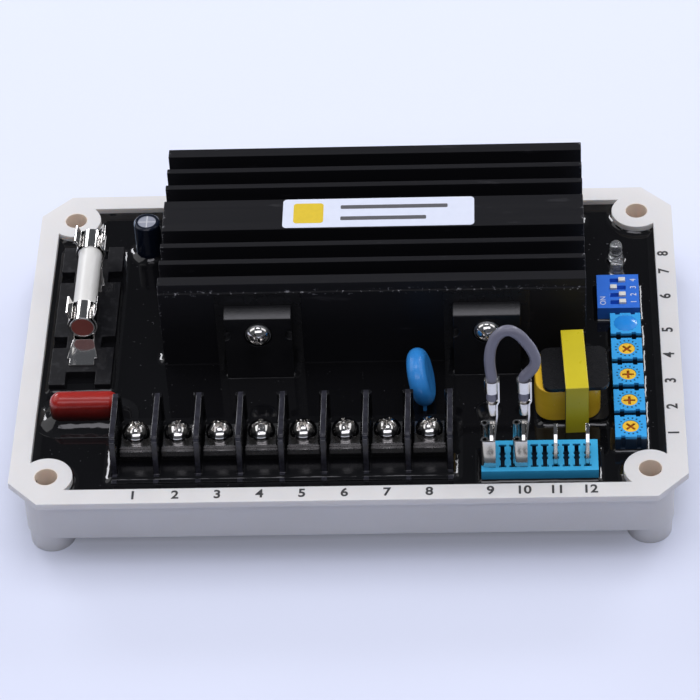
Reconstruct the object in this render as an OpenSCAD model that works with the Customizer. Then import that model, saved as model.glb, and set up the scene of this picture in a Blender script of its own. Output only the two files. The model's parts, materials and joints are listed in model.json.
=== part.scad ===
// Potted automatic voltage regulator for a small generator.
// A cream moulded tray on four feet holds a circuit board sunk in black resin.
// X runs along the tray, Y from the terminal side to the back, Z up from the feet.
// The origin is in the plane of the feet, under the middle of the tray.

/* [Tray] */
// Width of the rim around the opening
rim_w = 4.6; // [3.5:0.1:7]
// Height from the feet to the rim
tray_h = 19; // [17:0.5:30]
// Height of the feet below the tray floor
foot_h = 5; // [3:0.5:8]
// Thickness of the floor
floor_t = 2; // [1.5:0.1:3]
// Cut at each corner of the outline
corner_cut = 7; // [4:0.5:8]
// Thickness of the flange at the rim
flange_t = 1.8; // [1:0.1:3]
// Overhang of the flange past the side walls
flange_lip = 3; // [1:0.1:3.2]
// Radius of each mounting hole
hole_r = 2.55; // [1.5:0.05:3]
// Radius of the post around each mounting hole
boss_r = 6; // [5:0.1:6.5]
// Distance of the mounting holes from the ends
hole_inset_x = 8.5; // [7.5:0.1:10]
// Distance of the mounting holes from the long sides
hole_inset_y = 8.8; // [7.5:0.1:10]
// Radius of a foot at its lower end
foot_r = 5.1; // [4:0.1:5.5]
// Radius of a post outside the walls, under the flange
post_r = 5.6; // [5:0.1:6]
// Radius of the pads under the circuit board
pad_r = 3; // [2:0.1:5]

/* [Board and resin] */
// Drop from the rim to the resin
resin_drop = 2; // [1:0.1:3]
// Drop from the rim to the upper face of the board
board_drop = 5; // [4:0.1:6]
// Thickness of the circuit board
board_t = 1.6; // [1:0.1:2.4]
// Gap between the board and the tray walls
board_gap = 1.5; // [0.5:0.1:1.8]

/* [Layout] */
// Gap between the left wall and the fuse holder
holder_side_gap = 1.9; // [1:0.1:4]
// Bay between the fuse holder and the heat sink
capacitor_bay = 11.9; // [9:0.1:16]
// Gap between the heat sink and the coding switch
switch_bay = 3; // [2:0.1:6]
// Gap between the coding switch and the right wall
right_gap = 4.4; // [3:0.1:6]
// Gap between the left wall and the terminal block
block_side_gap = 18.5; // [17:0.1:24]
// Gap between the terminal block and the tab housing
tab_bay = 6.2; // [4:0.1:10]
// Gap between the tab housing and the trimmers
trimmer_bay = 4; // [3:0.1:8]
// Gap between the front wall and the terminal block
front_gap = 3.4; // [2.5:0.1:6]
// Bay between the terminal block and the heat sink
service_bay = 20.6; // [18:0.1:30]
// Gap between the heat sink and the back wall
rear_gap = 4.4; // [3:0.1:8]

/* [Heat sink] */
// Length of the extrusion
heat_l = 98.2; // [90:0.1:130]
// Rise of the fins above the rim
heat_rise = 22.3; // [21.5:0.1:35]
// Thickness of the front and back walls
heat_wall = 3.3; // [2.5:0.1:5]
// Thickness of a fin
fin_t = 1.6; // [1:0.1:2.5]
// Gap between fins
fin_gap = 4.3; // [3:0.1:6]
// Depth of the grooves between fins
fin_depth = 13; // [8:0.5:14]
// Thickness of the plate that the fins stand on
heat_base_t = 4.5; // [3:0.1:5.5]
// Number of fins between a wall and the crown
fins_per_side = 2; // [1:1:3]
// Width of the flat crown between the two groups of fins
crown_w = 10.7; // [8:0.1:16]
// Drop from the top of a wall to its ledge
ledge_drop = 2.5; // [1:0.1:4]
// Depth of the ledge
ledge_in = 0.4; // [0.2:0.1:1]

/* [Power devices] */
// Distance between the two devices
device_pitch = 52.6; // [30:0.1:70]
// Width of a device
device_w = 15.5; // [10:0.1:18]
// Height of the moulded body
device_h = 19.8; // [17:0.1:20.5]
// Thickness at the foot
device_t = 5; // [4.5:0.1:6]
// Thickness at the top of the sloping front
device_top_t = 3.6; // [3.2:0.1:4.4]
// Rise of a device above the rim
device_rise = 16.4; // [16:0.1:18]
// Height of the bevel along the top
device_bevel = 1.2; // [0.6:0.1:2]
// Drop from the top of a device to its screw
device_screw_drop = 5.8; // [4.8:0.1:7]
// Radius of the half-round notches beside the screw
device_notch_r = 1.5; // [0.8:0.1:2]
// Width of the insulating film
film_w = 19.9; // [16:0.1:24]
// Thickness of the insulating film
film_t = 0.25; // [0.1:0.05:0.5]
// Rise of the insulating film above the rim
film_rise = 19.6; // [18:0.1:21]
// Radius of the screw shank
screw_r = 1.5; // [1.2:0.1:2]
// Radius of the screw head
screw_head_r = 2.75; // [2.4:0.05:3.2]
// Height of the screw head
screw_head_h = 1.9; // [1.2:0.1:2.6]
// Thickness of the spring washer
washer_t = 0.7; // [0.4:0.1:1]

/* [Terminal block] */
// Number of poles
poles = 8; // [2:1:9]
// Distance between poles
pole_pitch = 9.5; // [8.5:0.1:11]
// Thickness of a barrier
barrier_t = 1.4; // [1:0.1:2]
// Rise of the barriers above the rim
barrier_rise = 8.5; // [7:0.1:10]
// Depth of the barriers at their top
barrier_d = 15; // [13.5:0.1:18]
// Spread of the barriers from their top to their foot
barrier_slope = 1.2; // [0.6:0.1:2]
// Depth of the whole block
block_d = 18.9; // [17.5:0.1:24]
// Width of the stiffening flange at the back of a barrier
barrier_flange_w = 2.4; // [2:0.1:4]
// Thickness of that flange
barrier_flange_t = 1.2; // [0.8:0.1:2]
// Rise of the contact seat above the rim
seat_rise = 0.5; // [0:0.1:1.5]
// Distance from the back of the block to the screws
pole_screw_in = 7.7; // [7:0.1:9]
// Width of a contact plate
contact_w = 7.4; // [6:0.1:7.5]
// Depth of a contact plate
contact_d = 8.6; // [8.2:0.1:9.6]
// Distance from the front of a contact plate to its screw
contact_in = 4.4; // [4:0.1:5.4]
// Thickness of a contact plate
contact_t = 1; // [0.6:0.1:1.4]
// Fold of a contact plate below its seat
contact_lip = 0.5; // [0.3:0.1:1.2]
// Depth of a clamp plate
clamp_d = 7; // [6:0.1:7.4]
// Width of the turned-up sides of a clamp plate
clamp_wing = 0.4; // [0.2:0.1:0.5]
// Thickness of a clamp plate
clamp_t = 0.8; // [0.5:0.1:1.2]
// Radius of a terminal screw
pole_screw_r = 1.7; // [1.4:0.1:2]
// Radius of a terminal screw head
pole_head_r = 3.1; // [2.8:0.1:3.3]
// Height of a terminal screw head
pole_head_h = 3.5; // [2:0.1:3.8]

/* [Fuse and holder] */
// Width of the holder base
holder_w = 14.5; // [12:0.1:18]
// Length of the holder base
holder_l = 48.3; // [45:0.1:52]
// Gap between the holder base and the back wall
holder_rear_gap = 14.1; // [12:0.1:18]
// Rise of the holder base above the rim
holder_rise = 0; // [-0.5:0.1:2]
// Width of the notches in the sides of the base
holder_notch = 3.8; // [2:0.1:5]
// Depth of the notches in the sides of the base
holder_notch_in = 3.2; // [2:0.1:3.6]
// Width of the slot at each end of the base
holder_slot_w = 6.9; // [4:0.1:8]
// Depth of the slot at each end of the base
holder_slot_d = 4.4; // [3:0.1:5]
// Radius of the fuse caps
fuse_r = 3; // [2.5:0.05:3.2]
// Length of the fuse
fuse_l = 31.8; // [30:0.1:34]
// Length of a fuse cap
fuse_cap_l = 6.4; // [5:0.1:8]
// Wall of a fuse cap
fuse_cap_t = 0.25; // [0.15:0.05:0.5]
// Thickness of the spring clip sheet
clip_t = 0.5; // [0.3:0.05:0.7]
// Width of the spring arms along the fuse
clip_w = 5.6; // [4:0.1:6]
// Rise of the fuse axis above the base
fuse_lift = 4.5; // [4.3:0.1:6]
// Distance of the fuse behind the middle of the base
fuse_offset = 6.4; // [5:0.1:6.6]
// Length of the flared tips of the spring arms
clip_tip_l = 2.6; // [2:0.1:3.2]
// Flare of those tips
clip_flare = 20; // [15:1:35]
// Rise of the ramp in front of each clip
ramp_h = 1.3; // [1:0.1:1.4]
// Length of the ramp
ramp_l = 5.6; // [4:0.1:6]
// Width of the ramp at its foot
ramp_w = 7; // [6:0.1:8]
// Width of the ramp at its crest
ramp_top_w = 4.9; // [4:0.1:5.6]
// Length of the lip in front of the ramp
ramp_lip_l = 2.3; // [1:0.1:3]

/* [Small parts] */
// Radius of the electrolytic capacitor
can_r = 3.15; // [2.5:0.05:4]
// Rise of the electrolytic capacitor above the rim
can_rise = 7.9; // [6:0.1:12]
// Distance from the back wall to the electrolytic capacitor
can_rear_gap = 14.1; // [8:0.1:20]
// Thickness of the shrink sleeve
sleeve_t = 0.2; // [0.1:0.05:0.4]
// Length of the film capacitor
film_cap_l = 16; // [14:0.1:18]
// Thickness of the film capacitor
film_cap_t = 5; // [3:0.1:5.6]
// Rise of the film capacitor above the rim
film_cap_rise = 5.5; // [3:0.1:8]
// Gap between the left wall and the film capacitor
film_cap_side_gap = 3.3; // [2:0.1:5]
// Radius of the varistor disc
varistor_r = 6.8; // [5:0.1:7.5]
// Thickness of the varistor disc
varistor_t = 4.4; // [3:0.1:6]
// Lean of the varistor towards the left
varistor_lean = 13; // [0:1:16]
// Distance of the varistor from the right end of the terminal block
varistor_in = 7.4; // [6:0.1:30]
// Radius of component leads
lead_r = 0.4; // [0.3:0.05:0.5]

/* [Tab housing and jumper] */
// Distance between the slots of the housing
slot_pitch = 2.38; // [2.3:0.02:2.6]
// Number of slots
slots = 10; // [4:3:10]
// Slots from one tab to the next
tab_step = 3; // [3:3:6]
// Length of a slot
slot_l = 7.2; // [6.8:0.1:8]
// Depth of the slots
slot_depth = 2.5; // [1.5:0.1:3.5]
// Depth of the housing
housing_d = 9.9; // [9:0.1:12]
// Margin of the housing beyond its end slots
housing_margin = 2.4; // [2:0.1:3]
// Rise of the housing above the rim
housing_rise = 1; // [0:0.1:2]
// Distance from the front wall to the housing
housing_front_gap = 2.8; // [2:0.1:5]
// Width of a tab
tab_w = 6.3; // [5.5:0.1:6.4]
// Thickness of a tab
tab_t = 0.8; // [0.5:0.05:1]
// Height of a tab above the housing
tab_h = 8.2; // [7:0.1:9]
// Length of the rolled part of a receptacle
roll_l = 7.8; // [6.5:0.1:8]
// Sheet thickness of a receptacle
roll_t = 0.4; // [0.3:0.05:0.5]
// Radius of the rolled edges
roll_r = 0.9; // [0.7:0.05:1]
// Radius of the jumper insulation
wire_r = 1.25; // [1:0.05:1.3]
// Radius of the jumper strands
strand_r = 0.8; // [0.6:0.05:0.9]

/* [Transformer] */
// Width of the core
core_w = 5.2; // [4:0.1:6]
// Length of the core
core_l = 19.2; // [18.6:0.1:21]
// Rise of the core above the rim
core_rise = 11.6; // [11:0.1:15]
// Thickness of the core yokes
yoke_t = 2.5; // [2:0.1:3]
// Thickness of the outer core legs
leg_t = 2.4; // [2:0.1:2.6]
// Thickness of the middle core leg
middle_leg_t = 4.8; // [4:0.1:5]
// Thickness of the tape around the core
tape_t = 0.2; // [0.1:0.05:0.3]
// Width of the bobbin flanges
bobbin_w = 15; // [13:0.1:16]
// Thickness of the bobbin flanges
bobbin_t = 1; // [0.8:0.1:1.4]
// Width of the taped winding
winding_w = 14.8; // [13:0.1:16]
// Bulge of the winding to the left of its bobbin
winding_shift = 1.7; // [0:0.1:2]
// Turn of the transformer on the board
transformer_turn = 2.3; // [0:0.1:4]
// Gap between the transformer and the trimmers
transformer_gap = 1.4; // [1:0.1:3]

/* [Adjusters and lamps] */
// Side of a trimmer
trimmer_w = 7.1; // [6.5:0.1:8]
// Distance between trimmers
trimmer_pitch = 8.6; // [8.3:0.1:9.5]
// Rise of the trimmers above the rim
trimmer_rise = 2.3; // [1.5:0.1:4]
// Gap between the first trimmer and the corner post
trimmer_front_gap = 1.7; // [1:0.1:3]
// Radius of a trimmer rotor
rotor_r = 1.85; // [1.5:0.05:2.3]
// Depth of the rotor recess
rotor_recess = 1.3; // [1:0.1:2]
// Thickness of a rotor
rotor_t = 1.1; // [0.8:0.1:1.2]
// Radius of the lacquer drop on the first trimmer
seal_r = 2.7; // [2.4:0.05:3.2]
// Height of the lacquer drop
seal_h = 0.6; // [0.3:0.05:1]
// Width of the coding switch
switch_w = 9.9; // [9:0.1:11]
// Distance between the switch levers
lever_pitch = 2.54; // [2.4:0.02:2.8]
// Margin of the switch beyond its end levers
switch_margin = 2.05; // [1.6:0.05:3]
// Rise of the switch above the rim
switch_rise = 1.8; // [1:0.1:3]
// Gap between the switch and the nearest trimmer
switch_gap = 2.3; // [1.5:0.1:4]
// Travel of a switch lever
lever_travel = 2; // [1:0.1:2.4]
// Length of a switch lever along its travel
lever_l = 1.6; // [1.2:0.1:2]
// Width of a switch lever
lever_w = 1.3; // [1:0.05:1.5]
// Radius of an indicator lamp
lamp_r = 1.5; // [1.2:0.05:2]
// Distance between the two lamps
lamp_pitch = 6.3; // [4.5:0.1:8]
// Gap between the switch and the nearer lamp
lamp_gap = 3; // [2.2:0.1:5]
// Rise of the lamps above the rim
lamp_rise = 4; // [3.5:0.1:6]

/* [Hidden] */
$fn = 48;
// Clearance of a running fit
fit = 0.05;
// Overlap that lets a cut break through a face
cut = 1;

// Levels
rim_z = tray_h;
resin_z = rim_z - resin_drop;
board_z = rim_z - board_drop;
floor_z = foot_h + floor_t;
heat_z = rim_z + heat_rise;

// Footprints that set the size of the tray
heat_d = crown_w + 2 * (heat_wall + fins_per_side * fin_t + (fins_per_side + 1) * fin_gap);
block_l = poles * pole_pitch + barrier_t;
housing_l = (slots - 1) * slot_pitch + 2 * housing_margin;
rear_row = holder_side_gap + holder_w + capacitor_bay + heat_l + switch_bay + switch_w + right_gap;
front_row = block_side_gap + block_l + tab_bay + housing_l + trimmer_bay + trimmer_w + right_gap;
cavity_l = max(rear_row, front_row);
cavity_w = front_gap + block_d + service_bay + heat_d + rear_gap;
tray_l = cavity_l + 2 * rim_w;
tray_w = cavity_w + 2 * rim_w;
hole_x = tray_l / 2 - hole_inset_x;
hole_y = tray_w / 2 - hole_inset_y;
left_x = -cavity_l / 2;
right_x = cavity_l / 2;
front_y = -cavity_w / 2;
back_y = cavity_w / 2;

// Places of the pieces on the board
holder_x = left_x + holder_side_gap + holder_w / 2;
holder_y = back_y - holder_rear_gap - holder_l / 2;
holder_z = rim_z + holder_rise;
holder_notches = [-9.6, 13.3];
fuse_z = holder_z + fuse_lift;
fuse_y = holder_y + fuse_offset;
clip_y = fuse_l / 2 - fuse_cap_l / 2;
heat_x = left_x + holder_side_gap + holder_w + capacitor_bay + heat_l / 2;
heat_front = front_y + front_gap + block_d + service_bay;
can_x = left_x + holder_side_gap + holder_w + capacitor_bay / 2;
can_y = back_y - can_rear_gap;
block_x = left_x + block_side_gap;
block_front = front_y + front_gap;
block_back = block_front + block_d;
barrier_z = rim_z + barrier_rise;
seat_z = rim_z + seat_rise;
pole_screw_y = block_back - pole_screw_in;
housing_x = block_x + block_l + tab_bay + housing_l / 2;
housing_y = front_y + housing_front_gap + housing_d / 2;
housing_z = rim_z + housing_rise;
tabs = 1 + floor((slots - 1) / tab_step);
trimmer_x = right_x - right_gap - trimmer_w / 2;
trimmer_y = -hole_y + boss_r + trimmer_front_gap + trimmer_w / 2;
trimmer_z = rim_z + trimmer_rise;
trimmers = 5;
levers = 4;
switch_l = (levers - 1) * lever_pitch + 2 * switch_margin;
switch_x = right_x - right_gap - switch_w / 2;
switch_y = trimmer_y + (trimmers - 1) * trimmer_pitch + trimmer_w / 2 + switch_gap + switch_l / 2;
switch_z = rim_z + switch_rise;
lever_slot_l = lever_l + lever_travel + 2 * fit;
lever_depth = 1.2;
lever_stand = 0.5;
lamp_x = switch_x;
lamp_y = switch_y + switch_l / 2 + lamp_gap;
neighbour_gap = 0.5;
film_cap_sink = 1.5;
film_cap_h = film_cap_rise + resin_drop + film_cap_sink;
film_cap_x = left_x + film_cap_side_gap + film_cap_l / 2;
film_cap_y = block_back + neighbour_gap + film_cap_t / 2;
varistor_lift = 0.4;
varistor_x = block_x + block_l - varistor_in;
varistor_y = block_back + varistor_r + neighbour_gap;
varistor_z = resin_z + varistor_r + varistor_lift;
transformer_x = trimmer_x - trimmer_w / 2 - transformer_gap - winding_w / 2;
transformer_y = (housing_y + housing_d / 2 + heat_front) / 2;
core_lift = 0.6;
core_z = rim_z + core_rise;
core_base = board_z + core_lift;

// Power devices: the seat under each washer, the screw and the leads
device_x = [heat_x - device_pitch / 2, heat_x + device_pitch / 2];
device_back = heat_front - film_t;
device_top = rim_z + device_rise;
device_screw_z = device_top - device_screw_drop;
device_seat_drop = 0.3;
device_seat_t = device_top_t - device_seat_drop;
device_seat_margin = 0.5;
device_seat_r = screw_head_r + device_seat_margin;
device_notch_floor = 1.4;
device_lead_w = 1.2;
device_lead_t = 0.6;
washer_margin = 0.2;
washer_r = screw_head_r + washer_margin;
screw_end_gap = 0.2;
screw_l = device_seat_t + film_t + washer_t + heat_wall - screw_end_gap;

// Route of the jumper from the left barrel over its arch to the right barrel, above the foot of the left tab
jumper_span = tab_step * slot_pitch;
barrel_x = 0.3;
wire_route = [
    [barrel_x, 1.62, 16.2], [barrel_x, 1.9, 19], [barrel_x, 2.2, 22], [0, 2.7, 25], [0, 3.1, 28],
    [0.6, 3.5, 31], [2, 3.7, 33.6], [4, 3.8, 34.7], [6, 3.7, 33.8], [8, 3.4, 31.4],
    [9.4, 3.2, 28.8], [10, 2.9, 26.4], [9.5, 2.6, 24.6], [8.4, 2.4, 23.2],
    [jumper_span + barrel_x, 2.2, 22], [jumper_span + barrel_x, 1.9, 19], [jumper_span + barrel_x, 1.62, 16.2]
];
wire_sides = 8;

// Box given by its lowest corner's X and Y, its plan size and its lower and upper levels
module slab(x, y, l, w, z0, z1) {
    translate([x, y, z0]) cube([l, w, z1 - z0]);
}

// Box centred in plan
module block(x, y, l, w, z0, z1) {
    slab(x - l / 2, y - w / 2, l, w, z0, z1);
}

// Rectangle with round corners
module round_outline(l, w, r) {
    square([l - 2 * r, w], center = true);
    square([l, w - 2 * r], center = true);
    for (sx = [-1, 1], sy = [-1, 1])
        translate([sx * (l / 2 - r), sy * (w / 2 - r)]) circle(r);
}

// Rectangle with its corners cut
module cut_outline(l, w, c) {
    x = l / 2;
    y = w / 2;
    polygon([[x - c, -y], [x, c - y], [x, y - c], [x - c, y], [c - x, y], [-x, y - c], [-x, c - y], [c - x, -y]]);
}

// Section drawn in Y and Z, run along X from x0
module run_along_x(x0, l) {
    translate([x0, 0, 0]) rotate([90, 0, 90]) linear_extrude(l) children();
}

module at_holes() {
    for (sx = [-1, 1], sy = [-1, 1])
        translate([sx * hole_x, sy * hole_y, 0]) children();
}

// Tray and what fills it

module cavity(z0, z1) {
    difference() {
        block(0, 0, cavity_l, cavity_w, z0, z1);
        at_holes() translate([0, 0, z0 - cut]) cylinder(h = z1 - z0 + 2 * cut, r = boss_r);
    }
}

module board_pads() {
    for (sx = [-1, 1], sy = [-1, 1])
        translate([sx * cavity_l / 4, sy * cavity_w / 4, floor_z])
            cylinder(h = board_z - board_t - floor_z, r = pad_r);
}

module tray() {
    color("ivory") {
        difference() {
            union() {
                translate([0, 0, foot_h])
                    linear_extrude(rim_z - flange_t - foot_h)
                        round_outline(tray_l - 2 * flange_lip, tray_w - 2 * flange_lip, post_r);
                translate([0, 0, rim_z - flange_t])
                    linear_extrude(flange_t) cut_outline(tray_l, tray_w, corner_cut);
                at_holes() cylinder(h = rim_z - flange_t, r1 = foot_r, r2 = post_r);
            }
            cavity(floor_z, rim_z + cut);
            at_holes() translate([0, 0, -cut]) cylinder(h = rim_z + 2 * cut, r = hole_r);
        }
        board_pads();
    }
}

module circuit_board() {
    color("darkgreen") difference() {
        block(0, 0, cavity_l - 2 * board_gap, cavity_w - 2 * board_gap, board_z - board_t, board_z);
        at_holes() translate([0, 0, floor_z]) cylinder(h = rim_z, r = boss_r + board_gap);
    }
}

// Resin round everything that stands on the board
module potting_resin() {
    color([0.03, 0.03, 0.035]) difference() {
        cavity(floor_z, resin_z);
        circuit_board();
        board_pads();
        for (y = [heat_front, heat_front + heat_d - heat_wall])
            slab(heat_x - heat_l / 2, y, heat_l, heat_wall, board_z, rim_z);
        for (x = device_x) {
            slab(x - film_w / 2, device_back, film_w, film_t, board_z, rim_z);
            power_device_body(x);
        }
        slab(block_x, block_front, block_l, block_d, board_z, rim_z);
        holder_outline_block();
        translate([can_x, can_y, board_z]) cylinder(h = rim_z, r = can_r);
        film_capacitor();
        varistor_leads();
        block(housing_x, housing_y, housing_l, housing_d, board_z, rim_z);
        at_transformer() {
            block(0, 0, core_w, core_l + 2 * tape_t, core_base - tape_t, rim_z);
            bobbin_rails();
        }
        block(switch_x, switch_y, switch_w, switch_l, board_z, rim_z);
        for (i = [0 : trimmers - 1])
            block(trimmer_x, trimmer_y + i * trimmer_pitch, trimmer_w, trimmer_w, board_z, rim_z);
        for (i = [0, 1]) lamp_leads(i);
    }
}

// Finned heat sink with the power devices on its front wall

function groove_at(i) = heat_wall + i * (fin_gap + fin_t);
tunnel_z = heat_z - fin_depth - heat_base_t;

// Two walls that stand on the board carry a plate with fins above and an open tunnel below
module heat_section() {
    difference() {
        translate([heat_front, board_z]) square([heat_d, heat_z - board_z]);
        translate([heat_front + heat_wall, board_z - cut])
            square([heat_d - 2 * heat_wall, tunnel_z - board_z + cut]);
        for (i = [0 : fins_per_side]) {
            translate([heat_front + groove_at(i), heat_z - fin_depth])
                square([fin_gap, fin_depth + cut]);
            translate([heat_front + heat_d - groove_at(i) - fin_gap, heat_z - fin_depth])
                square([fin_gap, fin_depth + cut]);
        }
        translate([heat_front - cut, heat_z - ledge_drop]) square([cut + ledge_in, ledge_drop + cut]);
        translate([heat_front + heat_d - ledge_in, heat_z - ledge_drop]) square([cut + ledge_in, ledge_drop + cut]);
    }
}

module heat_sink() {
    color([0.07, 0.07, 0.08]) difference() {
        run_along_x(heat_x - heat_l / 2, heat_l) heat_section();
        for (x = device_x)
            translate([x, heat_front - cut, device_screw_z])
                rotate([-90, 0, 0]) cylinder(h = heat_wall + 2 * cut, r = screw_r + fit);
    }
}

module insulating_films() {
    color([0.12, 0.12, 0.13]) for (x = device_x) difference() {
        slab(x - film_w / 2, device_back, film_w, film_t, board_z, rim_z + film_rise);
        translate([x, device_back - cut, device_screw_z])
            rotate([-90, 0, 0]) cylinder(h = film_t + 2 * cut, r = screw_r + fit);
    }
}

// Moulded body with a sloping front, a bevelled top, and three leads down to the board
module power_device_body(x) {
    foot = device_top - device_h;
    difference() {
        run_along_x(x - device_w / 2, device_w) polygon([
            [device_back, foot],
            [device_back - device_t, foot],
            [device_back - device_top_t, device_top - device_bevel],
            [device_back - device_top_t + 2 * device_bevel, device_top],
            [device_back, device_top]
        ]);
        translate([x, device_back - device_t - cut, device_screw_z])
            rotate([-90, 0, 0]) cylinder(h = device_t + 2 * cut, r = screw_r + fit);
        translate([x, device_back - device_seat_t, device_screw_z])
            rotate([90, 0, 0]) cylinder(h = device_t, r = device_seat_r);
        for (side = [-1, 1])
            translate([x + side * device_w / 2, device_back - device_t - cut, device_screw_z])
                rotate([-90, 0, 0]) cylinder(h = device_t - device_notch_floor + cut, r = device_notch_r);
    }
    for (i = [-1, 0, 1])
        block(x + i * device_w / 3, device_back - device_t / 2, device_lead_w, device_lead_t, board_z, foot);
}

module power_device_left() {
    color([0.1, 0.1, 0.11]) power_device_body(device_x[0]);
}

module power_device_right() {
    color([0.1, 0.1, 0.11]) power_device_body(device_x[1]);
}

// Screw pointing along -Z from the face it clamps, with a domed head and a cross recess
module pan_screw(shank_r, shank_l, head_r, head_h) {
    dome_r = 1.1 * head_r;
    recess_z = 0.4 * head_h;
    recess_l = 1.3 * head_r;
    recess_w = 0.27 * head_r;
    difference() {
        union() {
            translate([0, 0, -shank_l]) cylinder(h = shank_l + recess_z / 2, r = shank_r);
            rotate_extrude() intersection() {
                square([head_r, head_h]);
                translate([0, head_h - dome_r]) circle(dome_r);
            }
        }
        for (turn = [0, 90])
            rotate([0, 0, turn]) block(0, 0, recess_l, recess_w, recess_z, head_h + cut);
    }
}

module device_screws() {
    turn = 30;
    color("silver") for (x = device_x)
        translate([x, device_back - device_seat_t - washer_t, device_screw_z])
            rotate([90, 0, 0]) rotate([0, 0, turn])
                pan_screw(screw_r, screw_l, screw_head_r, screw_head_h);
}

module device_washers() {
    color("lightgray") for (x = device_x)
        translate([x, device_back - device_seat_t, device_screw_z])
            rotate([90, 0, 0]) difference() {
                cylinder(h = washer_t, r = washer_r);
                translate([0, 0, -cut]) cylinder(h = washer_t + 2 * cut, r = screw_r + fit);
            }
}

// Barrier terminal block

function pole_x(i) = block_x + barrier_t / 2 + (i + 0.5) * pole_pitch;
// Level of the shelf in front of the contacts, and the faces that stand back from its edge
shelf_rise = 0.4;
shelf_z = resin_z + shelf_rise;
barrier_front = block_back - barrier_d;
barrier_foot = barrier_front - barrier_slope;
seat_front = pole_screw_y - contact_in + contact_t;
pole_hole_floor = 0.5;
pole_screw_end_gap = 0.5;

// Side of a barrier with a small round at its upper front corner
module barrier_section() {
    knee = 1.2;
    difference() {
        polygon([
            [block_back, board_z], [block_back, barrier_z], [barrier_front, barrier_z],
            [barrier_foot, shelf_z], [barrier_foot, board_z]
        ]);
        translate([barrier_front - cut, barrier_z - knee]) square([knee + cut, knee + cut]);
    }
    translate([barrier_front + knee, barrier_z - knee]) circle(knee);
}

module terminal_block() {
    color([0.08, 0.08, 0.09]) difference() {
        union() {
            slab(block_x, block_front, block_l, block_d, board_z, shelf_z);
            slab(block_x, seat_front, block_l, block_back - seat_front, board_z, seat_z);
            for (i = [0 : poles]) {
                run_along_x(block_x + i * pole_pitch, barrier_t) barrier_section();
                flange_x = block_x + barrier_t / 2 + i * pole_pitch;
                flange_l = max(block_x, flange_x - barrier_flange_w / 2);
                flange_r = min(block_x + block_l, flange_x + barrier_flange_w / 2);
                slab(flange_l, block_back - barrier_flange_t, flange_r - flange_l, barrier_flange_t, board_z, barrier_z);
            }
        }
        for (i = [0 : poles - 1])
            translate([pole_x(i), pole_screw_y, board_z + pole_hole_floor])
                cylinder(h = seat_z - board_z, r = pole_screw_r + fit);
    }
}

// Contact plate of a pole, folded down over the front of its seat
module contact_plate() {
    difference() {
        union() {
            slab(-contact_w / 2, -contact_in, contact_w, contact_d, 0, contact_t);
            slab(-contact_w / 2, -contact_in, contact_w, contact_t, -contact_lip, contact_t);
        }
        translate([0, 0, -cut]) cylinder(h = contact_t + 2 * cut, r = pole_screw_r + fit);
    }
}

module contact_plates() {
    color("silver") for (i = [0 : poles - 1])
        translate([pole_x(i), pole_screw_y, seat_z]) contact_plate();
}

// Clamp plate with its two sides turned up beside the screw head
module clamp_plate() {
    edge = 0.6 * clamp_t;
    bend = clamp_wing + 0.3 * clamp_t;
    half = pole_head_r + fit + bend;
    difference() {
        translate([0, clamp_d / 2, 0]) rotate([90, 0, 0]) linear_extrude(clamp_d) polygon([
            [clamp_wing - half, 0], [half - clamp_wing, 0], [half, clamp_wing], [half - edge, clamp_wing + edge],
            [half - bend, clamp_t], [bend - half, clamp_t], [edge - half, clamp_wing + edge], [-half, clamp_wing]
        ]);
        translate([0, 0, -cut]) cylinder(h = clamp_t + 2 * cut, r = pole_screw_r + fit);
    }
}

module clamp_plates() {
    color("lightgray") for (i = [0 : poles - 1])
        translate([pole_x(i), pole_screw_y, seat_z + contact_t]) clamp_plate();
}

// Each screw stopped at its own angle
module terminal_screws() {
    first_turn = 35;
    turn_step = 50;
    head_z = seat_z + contact_t + clamp_t;
    shank_l = head_z - board_z - pole_hole_floor - pole_screw_end_gap;
    color("silver") for (i = [0 : poles - 1])
        translate([pole_x(i), pole_screw_y, head_z]) rotate([0, 0, first_turn + turn_step * i])
            pan_screw(pole_screw_r, shank_l, pole_head_r, pole_head_h);
}

// Fuse in its holder

// Base with two notches in each side and a slot at each end
module holder_outline() {
    difference() {
        translate([holder_x, holder_y]) square([holder_w, holder_l], center = true);
        for (sx = [-1, 1], y = holder_notches)
            translate([holder_x + sx * (holder_w / 2 - holder_notch_in / 2 + cut / 2), holder_y + y])
                square([holder_notch_in + cut, holder_notch], center = true);
        for (sy = [-1, 1])
            translate([holder_x, holder_y + sy * (holder_l / 2 - holder_slot_d / 2 + cut / 2)])
                square([holder_slot_w, holder_slot_d + cut], center = true);
    }
}

module holder_outline_block() {
    translate([0, 0, board_z]) linear_extrude(holder_z - board_z) holder_outline();
}

module fuse_holder_base() {
    color([0.1, 0.1, 0.11]) holder_outline_block();
}

// Spring arms that grip the fuse cap, as a ring open at the top with flared tips
module clip_section() {
    inner = fuse_r + fit;
    outer = inner + clip_t;
    mouth = 0.74 * inner;
    tip_z = 0.67 * inner;
    foot_half = 0.8 * inner;
    foot_top = 0.7 * inner;
    difference() {
        circle(outer);
        circle(inner);
        translate([-mouth, 0]) square([2 * mouth, outer + cut]);
    }
    for (side = [-1, 1]) {
        translate([side * (mouth + clip_t / 2), tip_z])
            rotate(-side * clip_flare) translate([-clip_t / 2, 0]) square([clip_t, clip_tip_l]);
        translate([side * foot_half - clip_t / 2, -fuse_lift]) square([clip_t, fuse_lift - foot_top]);
    }
    translate([-foot_half, -fuse_lift]) square([2 * foot_half, clip_t]);
}

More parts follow.
